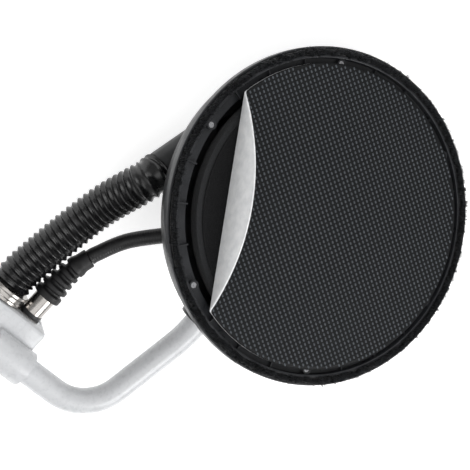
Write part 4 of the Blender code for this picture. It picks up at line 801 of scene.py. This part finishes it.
def foam_finish():
    finish = Finish("pad_foam", (0.01, 0.0105, 0.012), 0.85)
    finish.set("Sheen Weight", 0.08)
    pores = finish.cells(0.5 * MM)
    finish.feed("Base Color", finish.ramp(pores, (0.006, 0.0063, 0.007), (0.02, 0.021, 0.0235)))
    return finish.relief(finish.cells(0.45 * MM), 0.22 * MM)


PAD_FOAM = foam_finish()
finer("backing_plate", BLACK_PLASTIC, 0.8 * MM, 2)
PAD_AROUND = 144
FOAM_BULGE = 0.7 * MM
FOAM_ROWS = 9
foam_side = [
    (foam_r - FOAM_BULGE + FOAM_BULGE * math.sin(math.pi * i / (FOAM_ROWS - 1)),
     foam_low + (foam_high - foam_low) * i / (FOAM_ROWS - 1)) for i in range(FOAM_ROWS)]
foam_outline = [(foam_in, foam_low), *foam_side, (foam_in, foam_high)]
foam = lathe("pad_foam", foam_outline, HEAD, PAD_FOAM, PAD_AROUND)
stands_for(foam, "foam_pad")

# %% Hook face


def hook_finish():
    """Black nylon hook tape: rows of tiny hooks that catch the light one by one."""
    finish = Finish("hook_tape", (0.004, 0.004, 0.0045), 0.6)
    finish.set("Specular IOR Level", 0.2)
    finish.set("Sheen Weight", 0.06)
    finish.set("Sheen Roughness", 0.4)
    hairs = finish.noise(0.5 * MM, 6.0)
    finish.feed("Base Color", finish.ramp(hairs, (0.0025, 0.0025, 0.003), (0.016, 0.0165, 0.018), 0.4, 0.8))
    finish.relief(finish.cells(0.8 * MM), 0.3 * MM)
    return finish.relief(hairs, 0.15 * MM)


HOOK_TAPE = hook_finish()
hook_disc = lathe("hook_disc", [
    (0.0, hook_low), (hook_r, hook_low), (hook_r, hook_high), (0.0, hook_high),
], HEAD, HOOK_TAPE, PAD_AROUND, 0.4 * MM)
stands_for(hook_disc, "hook_face")


def grid_in_circle(tree, span):
    """The points of a square grid that lie inside a circle, and their places."""
    count = tree.inlet["Count"]
    grid = tree.node("GeometryNodeMeshGrid", {
        "Size X": span, "Size Y": span, "Vertices X": count, "Vertices Y": count})[0]
    points = tree.node("GeometryNodeMeshToPoints", {"Mesh": grid})[0]
    where = tree.node("GeometryNodeInputPosition")[0]
    away = tree.node("ShaderNodeVectorMath", {0: where}, operation="LENGTH")[1]
    outside = tree.math("GREATER_THAN", away, tree.inlet["Radius"])
    return tree.node("GeometryNodeDeleteGeometry", {"Geometry": points, "Selection": outside})[0], where


def hook_tree(finish):
    """Bent spikes on a square grid, kept only where the strip is bare."""
    tree = Tree("hook_tree", Pitch=0.001, Count=10, Size=0.0003, Radius=0.1, Crease=0.07, Seed=3)
    span = tree.math("MULTIPLY", tree.inlet["Pitch"], tree.inlet["Count"])
    points, where = grid_in_circle(tree, span)
    spots = tree.node("ShaderNodeSeparateXYZ", {0: where})
    covered = tree.math("LESS_THAN", spots[0], tree.inlet["Crease"])
    kept = tree.node("GeometryNodeDeleteGeometry", {"Geometry": points, "Selection": covered})[0]
    hook = tree.node("GeometryNodeMeshCone", {
        "Vertices": 4, "Radius Top": 0.5, "Radius Bottom": 0.35, "Depth": 1.6})[0]
    seed = tree.inlet["Seed"]
    lean = tree.random(-0.7, 0.7, seed)
    turn = tree.random(0.0, 6.28, tree.math("ADD", seed, 1))
    copies = tree.node("GeometryNodeInstanceOnPoints", {
        "Points": kept, "Instance": hook, "Rotation": tree.vector(lean, 0.0, turn),
        "Scale": tree.inlet["Size"]})[0]
    tree.finish(copies, finish)
    return tree


CREASE_FRAME = HEAD @ Matrix.Rotation(CREASE_AZIMUTH, 4, "Z")
HOOK_GRID, HOOK_PITCH, HOOK_SIZE, HOOK_MARGIN, HOOK_SEED = 190, 1.1 * MM, 0.3 * MM, 0.5 * MM, 3
BARE_FROM = CREASE_DISTANCE + 2.0 * MM
hook_place = CREASE_FRAME @ Matrix.Translation((0, 0, hook_high))
hooks = grow("bare_hooks", hook_tree(HOOK_TAPE), HOOK_TAPE, hook_place, Pitch=HOOK_PITCH,
             Count=HOOK_GRID, Size=HOOK_SIZE, Radius=hook_r - HOOK_MARGIN, Crease=BARE_FROM,
             Seed=HOOK_SEED)
detail_of(hooks, "hook_face")

# %% [markdown]
# ## The abrasive disc
# The disc is one sheet: grit on paper on one side, pale loop fabric on the other. It lies on
# the hooks, and beyond a straight crease it is peeled up and stands away from them. It is made
# flat, in rows parallel to the crease, and then every point beyond the crease is carried round
# a small bend. The fold crosses the joint between pad and flap.

# %% The sheet, flat and then folded
FOLD = math.radians(98.0)
FOLD_R = 1.6 * MM
SHEET_MIDDLE = (disc_low + disc_high) / 2
SHEET_T = disc_high - disc_low
SHEET_ROWS, SHEET_COLUMNS, FOLD_ROWS = 110, 72, 9
FLAP_CURL = 0.09


def folded(points, rise):
    """Flat points (x towards the crease, y along it) carried into place, a height above the middle."""
    x, y = points[:, 0], points[:, 1]
    flat_end = CREASE_DISTANCE - FOLD_R * FOLD / 2
    past = x - flat_end
    angle = np.clip(past / FOLD_R, 0.0, FOLD)
    run = np.clip(past - FOLD_R * FOLD, 0.0, None)
    flap_width = disc_r - CREASE_DISTANCE
    bow = FLAP_CURL * np.sin(np.pi * run / flap_width) * flap_width / math.pi
    out = np.minimum(x, flat_end) + FOLD_R * np.sin(angle) + run * math.cos(FOLD) + bow * math.sin(FOLD)
    up = FOLD_R * (1 - np.cos(angle)) + run * math.sin(FOLD) - bow * math.cos(FOLD)
    out -= rise * np.sin(angle)
    up += rise * np.cos(angle)
    return np.stack([out, y, up + SHEET_MIDDLE], axis=1)


def placed_in(place, points):
    matrix = np.array(place)
    return points @ matrix[:3, :3].T + matrix[:3, 3]


def sheet_rows():
    spread = [-disc_r * math.cos(math.pi * i / SHEET_ROWS) for i in range(SHEET_ROWS + 1)]
    width = FOLD_R * FOLD
    bend = [CREASE_DISTANCE - width / 2 + width * i / (FOLD_ROWS - 1) for i in range(FOLD_ROWS)]
    clear = [x for x in spread if abs(x - CREASE_DISTANCE) > width / 2 + 0.4 * MM]
    return sorted(clear + bend)


def make_sheet(grit, velour):
    rows = sheet_rows()
    flat = []
    for x in rows:
        half = math.sqrt(max(disc_r ** 2 - x ** 2, 0.0))
        flat += [(x, half * (2 * i / SHEET_COLUMNS - 1)) for i in range(SHEET_COLUMNS + 1)]
    flat = np.array(flat)
    side = SHEET_COLUMNS + 1
    faces = [
        (row * side + i, (row + 1) * side + i, (row + 1) * side + i + 1, row * side + i + 1)
        for row in range(len(rows) - 1) for i in range(SHEET_COLUMNS)
    ]
    mesh = bpy.data.meshes.new("abrasive_sheet")
    mesh.from_pydata(placed_in(CREASE_FRAME, folded(flat, 0.0)).tolist(), [], faces)
    chart = mesh.uv_layers.new(name="flat")
    for loop in mesh.loops:
        chart.data[loop.index].uv = flat[loop.vertex_index]
    work = bmesh.new()
    work.from_mesh(mesh)
    bmesh.ops.remove_doubles(work, verts=work.verts, dist=0.005 * MM)
    work.to_mesh(mesh)
    work.free()
    sheet = as_piece("abrasive_sheet", mesh, grit, velour)
    shell = sheet.modifiers.new("paper_thickness", "SOLIDIFY")
    shell.thickness = SHEET_T
    shell.offset = 0.0
    shell.material_offset = 1
    shell.material_offset_rim = 1
    evaluated_copy(sheet)
    return sheet


# %% Grit and velour


def grit_finish():
    """Silicon carbide on paper: charcoal, with single grains that glint."""
    finish = Finish("charcoal_grit", (0.006, 0.0063, 0.007), 0.7)
    finish.set("Specular IOR Level", 0.2)
    grains = finish.noise(0.35 * MM, 3.0)
    dark, light = (0.0032, 0.0035, 0.004), (0.0125, 0.0136, 0.0152)
    finish.feed("Base Color", finish.ramp(grains, dark, light, 0.38, 0.72))
    finish.feed("Roughness", finish.ramp(finish.cells(0.3 * MM), 0.4, 0.8))
    return finish.relief(grains, 0.12 * MM)


def dot_finish():
    """The raised dots of grit: the same grain, coloured a paler grey than the sheet."""
    finish = Finish("grit_dots", (0.03, 0.033, 0.037), 0.55)
    finish.set("Specular IOR Level", 0.3)
    grains = finish.noise(0.4 * MM, 3.0)
    finish.feed("Base Color", finish.ramp(grains, (0.036, 0.042, 0.048), (0.115, 0.128, 0.142), 0.35, 0.7))
    return finish.relief(grains, 0.08 * MM)


def velour_finish():
    """Pale loop fabric: soft, matt, with a short nap brushed in patches."""
    finish = Finish("pale_velour", (0.76, 0.77, 0.785), 0.9)
    finish.set("Sheen Weight", 0.25)
    finish.set("Sheen Roughness", 0.6)
    nap = finish.noise(0.6 * MM, 4.0)
    brushed = finish.noise(6 * MM, 6.0)
    finish.feed("Base Color", finish.ramp(brushed, (0.80, 0.81, 0.82), (0.93, 0.935, 0.94)))
    finish.relief(finish.noise(9 * MM), 0.4 * MM)
    return finish.relief(nap, 0.16 * MM)


GRIT, GRIT_DOT, VELOUR = grit_finish(), dot_finish(), velour_finish()
sheet = make_sheet(GRIT, VELOUR)
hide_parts("abrasive_disc", "abrasive_flap")
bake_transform(sheet)

# %% Dots of grit
DOT_PITCH = 3.4 * MM
DOT_AZIMUTH = math.radians(-29.0)
DOT_LENGTH, DOT_WIDTH, DOT_HEIGHT = 1.5 * MM, 2.5 * MM, 0.26 * MM


def dot_tree(finish):
    """Low domes on a square grid inside a circle, laid flat."""
    tree = Tree("dot_tree", Pitch=0.003, Count=10, Radius=0.1, Length=0.001, Width=0.001, Height=0.001)
    span = tree.math("MULTIPLY", tree.inlet["Pitch"], tree.math("SUBTRACT", tree.inlet["Count"], 1))
    kept = grid_in_circle(tree, span)[0]
    dome = tree.node("GeometryNodeMeshUVSphere", {"Segments": 8, "Rings": 4, "Radius": 0.5})[0]
    height = tree.math("MULTIPLY", tree.inlet["Height"], 2.0)
    copies = tree.node("GeometryNodeInstanceOnPoints", {
        "Points": kept, "Instance": dome,
        "Scale": tree.vector(tree.inlet["Length"], tree.inlet["Width"], height)})[0]
    tree.finish(copies, finish)
    return tree


def make_dots():
    turned = Matrix.Rotation(DOT_AZIMUTH - CREASE_AZIMUTH, 4, "Z")
    dots = grow("grit_dots", dot_tree(GRIT_DOT), GRIT_DOT, turned, Pitch=DOT_PITCH,
                Count=math.ceil(2 * disc_r / DOT_PITCH) + 1, Radius=disc_r - 0.8 * DOT_LENGTH,
                Length=DOT_LENGTH, Width=DOT_WIDTH, Height=DOT_HEIGHT)
    corners = np.empty(len(dots.data.vertices) * 3)
    dots.data.vertices.foreach_get("co", corners)
    corners = corners.reshape(-1, 3)
    lifted = folded(corners[:, :2], SHEET_T / 2 + corners[:, 2])
    dots.data.vertices.foreach_set("co", placed_in(CREASE_FRAME, lifted).ravel())
    dots.data.update()
    dots.data.shade_smooth()
    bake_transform(dots)


make_dots()

# %% [markdown]
# ## The dust hose and the flexible shaft's sleeve
# The dust hose is a blown bellows: one tube whose radius rises and falls as it goes. A tree
# follows the hose's route, sets the radius by a wave, and sweeps a circle along it. The hose
# bends when the head rolls and tilts. It is made in two lengths, the rear one from the wand to
# the gimbal, the front one from the gimbal to the head, and they meet in a valley of the bellows.

# %% The routes
COLLAR_GAP = 0.3 * MM
HOSE_R, SLEEVE_R = 15.5 * MM, 6.0 * MM


def tube_axis(node):
    """Where the axis of a tube that lies along the pole is, in Y and Z."""
    low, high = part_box(node)
    return (low[1] + high[1]) / 2, (low[2] + high[2]) / 2


DUST_AXIS_Y, TUBE_AXIS_Z = tube_axis("dust_tube")
DRIVE_AXIS_Y = tube_axis("drive_tube")[0]
PORT_MOUTH = Vector((-42.0, 104.0, shroud_back / MM - 25.0)) * MM
INLET_AZIMUTH = math.radians(138.0)
INLET_Z = -16.0 * MM
INLET_END = 84.6 * MM
HOSE_BENDS = ((129.0 * MM, 0.2045), (92.0 * MM, 0.4545))
SLEEVE_BEND = (101.5 * MM, 0.334)
BEND_RISE = 3.0 * MM
BOOT_LENGTH, BOOT_STRAIGHT, BOOT_LEAN = 44.0 * MM, 12.0 * MM, math.radians(18.0)
BOOT_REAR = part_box("shaft_boot_rear")[0][0]


def smooth_route(knots, count):
    """Even points along a smooth curve through the knots."""
    ends = [2 * knots[0] - knots[1], *knots, 2 * knots[-1] - knots[-2]]
    dense = [knots[0]]
    for before, first, second, after in zip(ends, ends[1:], ends[2:], ends[3:]):
        for step in range(1, 41):
            t = step / 40
            dense.append(0.5 * (2 * first + (second - before) * t
                                + (2 * before - 5 * first + 4 * second - after) * t * t
                                + (3 * first - before - 3 * second + after) * t ** 3))
    steps = [0.0] + [(b - a).length for a, b in zip(dense, dense[1:])]
    run = np.cumsum(steps)
    even = np.linspace(0, run[-1], count)
    columns = [np.interp(even, run, [point[axis] for point in dense]) for axis in range(3)]
    return [Vector(point) for point in zip(*columns)]


def boot_axis(distance):
    """A point on the rear boot's axis: straight over its ferrule, then bending to the head."""
    start = Vector((BOOT_REAR, DRIVE_AXIS_Y, TUBE_AXIS_Z))
    if distance <= BOOT_STRAIGHT:
        return start + Vector((distance, 0, 0))
    radius = (BOOT_LENGTH - BOOT_STRAIGHT) / BOOT_LEAN
    swing = (distance - BOOT_STRAIGHT) / radius
    return start + Vector((BOOT_STRAIGHT + radius * math.sin(swing), radius * (math.cos(swing) - 1), 0))


def hose_knots():
    mouth = HEAD @ PORT_MOUTH
    away = (PORT_MOUTH - Vector((PORT_CENTRE.x, PORT_CENTRE.y, PORT_MOUTH.z))).normalized()
    start = Vector((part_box("hose_collar")[1][0] + COLLAR_GAP, DUST_AXIS_Y, TUBE_AXIS_Z))
    heights = (TUBE_AXIS_Z + BEND_RISE, (TUBE_AXIS_Z + mouth.z) / 2)
    bends = [Vector((PIVOT.x - back, DUST_AXIS_Y + (mouth.y - DUST_AXIS_Y) * share, height))
             for (back, share), height in zip(HOSE_BENDS, heights)]
    return [start, start + Vector((HOSE_R, 0, 0)), *bends,
            HEAD @ (PORT_MOUTH + away * HOSE_R), HEAD @ (PORT_MOUTH + away * COLLAR_GAP)]


def sleeve_knots():
    nose = boot_axis(BOOT_LENGTH)
    onward = Vector((math.cos(BOOT_LEAN), -math.sin(BOOT_LEAN), 0))
    inlet = Vector((math.cos(INLET_AZIMUTH), math.sin(INLET_AZIMUTH), 0))
    ends = [HEAD @ (inlet * far + Vector((0, 0, INLET_Z))) for far in (INLET_END + 2 * SLEEVE_R, INLET_END)]
    bend_y = nose.y + (ends[-1].y - nose.y) * SLEEVE_BEND[1]
    return [nose + onward * COLLAR_GAP, nose + onward * SLEEVE_R,
            Vector((PIVOT.x - SLEEVE_BEND[0], bend_y, TUBE_AXIS_Z + BEND_RISE)), *ends]


# %% Bellows tree
HALF_POINTS = 80
RIDGE_SHARPNESS = 0.65
STEPS_PER_RIB = 10
BELLOWS_DEPTH, BELLOWS_PITCH = 1.9 * MM, 5.3 * MM
SLEEVE_DEPTH, SLEEVE_PITCH = 0.12 * MM, 2.2 * MM
SMOOTH_RIBS_BELOW = math.radians(60)


def bellows_tree(finish):
    tree = Tree("bellows_tree", Ribs=10, Radius=0.015, Depth=0.002, Steps=100)
    curve = tree.node("GeometryNodeMeshToCurve", {"Mesh": tree.inlet["Geometry"]})[0]
    even = tree.node("GeometryNodeResampleCurve", {"Curve": curve, "Count": tree.inlet["Steps"]})[0]
    share = tree.node("GeometryNodeSplineParameter")[0]
    swing = tree.math("MULTIPLY", share, tree.math("MULTIPLY", tree.inlet["Ribs"], 2 * math.pi))
    wave = tree.math("MULTIPLY", tree.math("ADD", tree.math("COSINE", swing), 1.0), 0.5)
    fall = tree.math("POWER", wave, RIDGE_SHARPNESS)
    radius = tree.math("SUBTRACT", tree.inlet["Radius"], tree.math("MULTIPLY", fall, tree.inlet["Depth"]))
    circle = tree.node("GeometryNodeCurvePrimitiveCircle", {"Resolution": 40, "Radius": 1.0})[0]
    skin = tree.node("GeometryNodeCurveToMesh", {
        "Curve": even, "Profile Curve": circle, "Scale": radius, "Fill Caps": True})[0]
    tree.finish(skin, finish)
    return tree


def polyline(name, points):
    mesh = bpy.data.meshes.new(name)
    mesh.from_pydata(points, [(i, i + 1) for i in range(len(points) - 1)], [])
    return new_object(name, mesh)


def hose_finish():
    """Glossy black vinyl, with random patches of dust and of wiped gloss."""
    finish = Finish("hose_vinyl", (0.006, 0.006, 0.0065), 0.24)
    finish.feed("Roughness", finish.ramp(finish.noise(5 * MM, 5.0), 0.18, 0.36))
    dust = finish.noise(2.5 * MM, 4.0)
    finish.feed("Base Color", finish.ramp(dust, (0.0025, 0.0025, 0.003), (0.007, 0.007, 0.0075)))
    return finish.relief(finish.noise(1.2 * MM), 0.04 * MM)


HOSE_VINYL = hose_finish()


def lay_tube(knots, name, node, finish, radius, depth, pitch):
    """A hose or sleeve in two lengths."""
    route = smooth_route(knots, 2 * HALF_POINTS + 1)
    halves = route[:HALF_POINTS + 1], route[HALF_POINTS:]
    ends = ("rear", "wand", "gimbal"), ("front", "gimbal", "head")
    tree = bellows_tree(finish)
    for half, (end, first, second) in zip(halves, ends):
        length = sum((b - a).length for a, b in zip(half, half[1:]))
        ribs = max(1, round(length / pitch))
        label = f"{name}_{end}"
        skin = grow(label, tree, finish, base=polyline(label, half), Ribs=ribs, Radius=radius,
                    Depth=depth, Steps=ribs * STEPS_PER_RIB + 1)
        facing_out(skin.data)
        smooth_edges(skin, SMOOTH_RIBS_BELOW)
        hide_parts(f"{node}_{end}")
        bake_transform(skin)
        print(label, "is", round(length / MM), "mm long")


lay_tube(hose_knots(), "hose_bellows", "dust_hose", HOSE_VINYL, HOSE_R, BELLOWS_DEPTH, BELLOWS_PITCH)
lay_tube(sleeve_knots(), "shaft_sleeve", "flex_sleeve", SLEEVE_RUBBER, SLEEVE_R, SLEEVE_DEPTH, SLEEVE_PITCH)

# %% [markdown]
# ## Rubber boots
# Where the flexible shaft leaves its ferrule, and where it enters the gearbox, a soft ribbed
# boot stops it from kinking. A boot is one outline of rounded ribs that grow smaller to the
# nose. The front boot is straight, so its outline is turned. The rear boot bends with the
# shaft, so the outline is carried along a bent axis.

# %% Boots
BOOT_FLANGE_T, BOOT_NOSE_R = 5.0 * MM, 7.5 * MM
REAR_FLANGE_R, FRONT_FLANGE_R = 11.2 * MM, 12.0 * MM
REAR_RIBS, FRONT_RIBS = 4, 3
FERRULE_BORE_R, FERRULE_CUP = 8.8 * MM, 5.3 * MM
FRONT_BOOT_LENGTH, FRONT_CUP = 32.0 * MM, 5.0 * MM
INLET_REACH = 52.3 * MM
BOOT_EDGE, BOOT_AROUND = 0.9 * MM, 64
BORE_SPACE = 0.05 * MM


def boot_outline(length, flange_r, ribs, cup_r, cup_depth):
    """Outline of a ribbed boot and its bore: (radius, distance from the rear face)."""
    outside = [(flange_r, 0.0), (flange_r, BOOT_FLANGE_T)]
    pitch = (length - BOOT_FLANGE_T) / (ribs + 1.5)
    for index in range(ribs):
        crest = flange_r + (BOOT_NOSE_R - flange_r) * (index + 0.5) / (ribs + 1)
        low = BOOT_FLANGE_T + index * pitch
        root = crest - pitch / 3
        outside += [(root, low + pitch * 0.1), (root, low + pitch * 0.4), (crest, low + pitch * 0.5),
                    (crest, low + pitch * 0.95)]
    outside += [(BOOT_NOSE_R, length - pitch), (BOOT_NOSE_R, length)]
    bore_r = SLEEVE_R + BORE_SPACE
    return outside + [(bore_r, length), (bore_r, cup_depth), (cup_r, cup_depth), (cup_r, 0.0)]


def make_rear_boot():
    outline = boot_outline(BOOT_LENGTH, REAR_FLANGE_R, REAR_RIBS, FERRULE_BORE_R, FERRULE_CUP)
    up, little = Vector((0, 0, 1)), 0.1 * MM
    rings = []
    for point in rounded(outline, BOOT_EDGE):
        centre = boot_axis(point.y)
        ahead = (boot_axis(point.y + little) - boot_axis(point.y - little)).normalized()
        side = up.cross(ahead)
        rings.append([centre + point.x * (side * math.cos(a) + up * math.sin(a))
                      for a in turns(BOOT_AROUND)])
    stands_for(ring_skin("rear_boot", rings, BLACK_RUBBER), "shaft_boot_rear")


def make_front_boot():
    inlet = Vector((math.cos(INLET_AZIMUTH), math.sin(INLET_AZIMUTH), 0))
    side = Vector((0, 0, 1)).cross(inlet)
    start = inlet * INLET_REACH + Vector((0, 0, INLET_Z))
    place = HEAD @ frame_matrix(start, side, inlet.cross(side), inlet)
    cup_r = SLEEVE_R + 2 * BORE_SPACE
    outline = boot_outline(FRONT_BOOT_LENGTH, FRONT_FLANGE_R, FRONT_RIBS, cup_r, FRONT_CUP)
    boot = lathe("front_boot", outline, place, BLACK_RUBBER, BOOT_AROUND, BOOT_EDGE)
    stands_for(boot, "shaft_boot_front")


make_rear_boot()
make_front_boot()

# %% [markdown]
# ## Tubes, collar and ferrule
# Two aluminium tubes run side by side from the motor to the head: the thin one holds the drive
# shaft, the thick one carries the dust. They are turned, with drawn scratches along them.

# %% Turned pieces on the pole


def turned_tube(name, node, finish, edge=0.4 * MM):
    """A plain tube that fills the same space as its fixed solid."""
    place = along_x(node)
    inner, outer, low, high = reach(node, place)
    profile = [(outer, low), (outer, high), (inner, high), (inner, low)]
    return stands_for(lathe(name, profile, place, finish, edge=edge), node)


turned_tube("drive_pole", "drive_tube", TUBE_ALLOY)
turned_tube("dust_pole", "dust_tube", TUBE_ALLOY)
turned_tube("drive_ferrule", "shaft_ferrule", CHROME, 0.8 * MM)
turned_tube("ferrule_washer", "ferrule_clip", BLACK_PLASTIC, 0.6 * MM)


def make_collar():
    """The hose's collar: a pressed ring with two rolled beads and a lip over the tube's end."""
    place = along_x("hose_collar")
    inner, outer, low, high = reach("hose_collar", place)
    bead, wall, edge = 0.5 * MM, 2.4 * MM, 0.45 * MM
    lip = high - wall + COLLAR_GAP
    third = (high - low) / 3
    stands_for(lathe("hose_clamp", [
        (outer, low), (outer, low + 0.8 * third), (outer - bead, low + third),
        (outer - bead, high - third), (outer, high - 0.8 * third), (outer, high),
        (inner, high), (inner, lip), (outer - wall, lip), (outer - wall, low),
    ], place, CHROME, edge=edge), "hose_collar")


make_collar()

# %% [markdown]
# ## The bent arm
# A white steel tube leaves the front bracket sideways, bends twice and ends in the socket that
# the head rolls in. Its centre line is straight runs joined by round bends, and a ring of
# points is carried along it without twist.

# %% Arm
ARM_R, ARM_WALL = 10.0 * MM, 2.0 * MM
ARM_ROOT = Vector((PIVOT.x - 222.0 * MM, -3.3 * MM, 62.0 * MM))
ARM_KNEE = Vector((PIVOT.x - 131.0 * MM, PIVOT.y, PIVOT.z))
ARM_END_X = PIVOT.x - 99.3 * MM
ARM_BENDS = (38.0 * MM, 80.0 * MM)
ARM_KNEE_Y = 20.0 * MM
ARM_AROUND = 64


def round_bends(corners, radii, steps=14):
    path = [corners[0]]
    for before, corner, after, radius in zip(corners, corners[1:], corners[2:], radii):
        back, ahead = (before - corner).normalized(), (after - corner).normalized()
        half = back.angle(ahead) / 2
        centre = corner + (back + ahead).normalized() * radius / math.sin(half)
        first = corner + back * radius / math.tan(half) - centre
        last = corner + ahead * radius / math.tan(half) - centre
        path += [centre + first.slerp(last, step / steps) * radius for step in range(steps + 1)]
    return path + [corners[-1]]


def carried_tube(name, path, radius, bore, finish):
    """A hollow tube along a path, its rings carried forward without twist."""
    befores, afters = path[:1] + path[:-1], path[1:] + path[-1:]
    ahead = [(after - before).normalized() for before, after in zip(befores, afters)]
    side = ahead[0].orthogonal().normalized()
    frames = []
    for point, direction in zip(path, ahead):
        side = (side - direction * side.dot(direction)).normalized()
        frames.append((point, side, direction.cross(side)))
    sized = [(frame, radius) for frame in frames] + [(frame, bore) for frame in reversed(frames)]
    rings = [[point + size * (east * math.cos(a) + north * math.sin(a)) for a in turns(ARM_AROUND)]
             for (point, east, north), size in sized]
    return ring_skin(name, rings, finish)


arm_corners = [ARM_ROOT, Vector((ARM_ROOT.x, PIVOT.y + ARM_KNEE_Y, ARM_ROOT.z)), ARM_KNEE,
               Vector((ARM_END_X, PIVOT.y, PIVOT.z))]
arm_path = round_bends(arm_corners, ARM_BENDS)
stands_for(carried_tube("bent_arm", arm_path, ARM_R, ARM_R - ARM_WALL, WHITE_PAINT), "yoke_arm")
print("the arm's path has", len(arm_path), "points")

# %% [markdown]
# ## Castings, mouldings and the working parts
# Each of these starts from its fixed solid, whose every face is where it should be, and gets
# the rounded edges of a casting or a moulding. The finish says what it is made of: painted
# castings at the front, grey and black plastic round the motor, bare steel inside.

# %% Rounded copies
GRIP_FOAM = foam_finish()
CASTINGS = {
    "front_bracket": (WHITE_PAINT, 2.2 * MM), "rear_bracket": (WHITE_PAINT, 1.5 * MM),
    "roll_socket": (BLACK_PAINT, 1.2 * MM), "gimbal_bracket": (BLACK_PAINT, 1.0 * MM),
    "tilt_pin": (STEEL, 0.6 * MM), "hose_port": (BLACK_PLASTIC, 0.5 * MM),
    "gearbox_housing": (CAST_ALLOY, 1.0 * MM), "gearbox_cover": (CAST_ALLOY, 0.8 * MM),
    "motor_housing_upper": (GREY_PLASTIC, 0.9 * MM), "motor_housing_lower": (GREY_PLASTIC, 0.9 * MM),
    "motor_end_cap": (BLACK_PLASTIC, 1.2 * MM), "rest_foot": (BLACK_RUBBER, 1.5 * MM),
    "foam_grip": (GRIP_FOAM, 1.6 * MM), "dust_elbow": (BLACK_PLASTIC, 0.6 * MM),
    "swivel_cuff": (BLACK_PLASTIC, 1.0 * MM), "power_switch": (SWITCH_PLASTIC, 0.7 * MM),
    "speed_dial": (BLACK_PLASTIC, 0.5 * MM),
}
for node, (finish, edge) in CASTINGS.items():
    finer(node, finish, edge)
print(len(CASTINGS), "castings and mouldings")

# %% Working parts, mostly hidden
CARBON = moulded("motor_carbon", (0.02, 0.02, 0.022), 0.5, 0.25 * MM, 0.01 * MM)
WORKING = {
    STEEL: ("spindle", "bevel_gear", "bevel_pinion", "pad_screw", "pinion_bearing",
            "spindle_bearing_front", "spindle_bearing_rear", "motor_bearing_front",
            "motor_bearing_rear", "drive_coupling", "flex_core"),
    IRON: ("stator", "armature"),
    BRONZE: ("roll_bushing",),
    BLACK_PLASTIC: ("cooling_fan",),
    CARBON: ("carbon_brush_left", "carbon_brush_right"),
}
for finish, nodes in WORKING.items():
    for node in nodes:
        for slot in NODES[node].material_slots:
            slot.link = "OBJECT"
            slot.material = finish.material
print(sum(len(nodes) for nodes in WORKING.values()), "working parts painted")
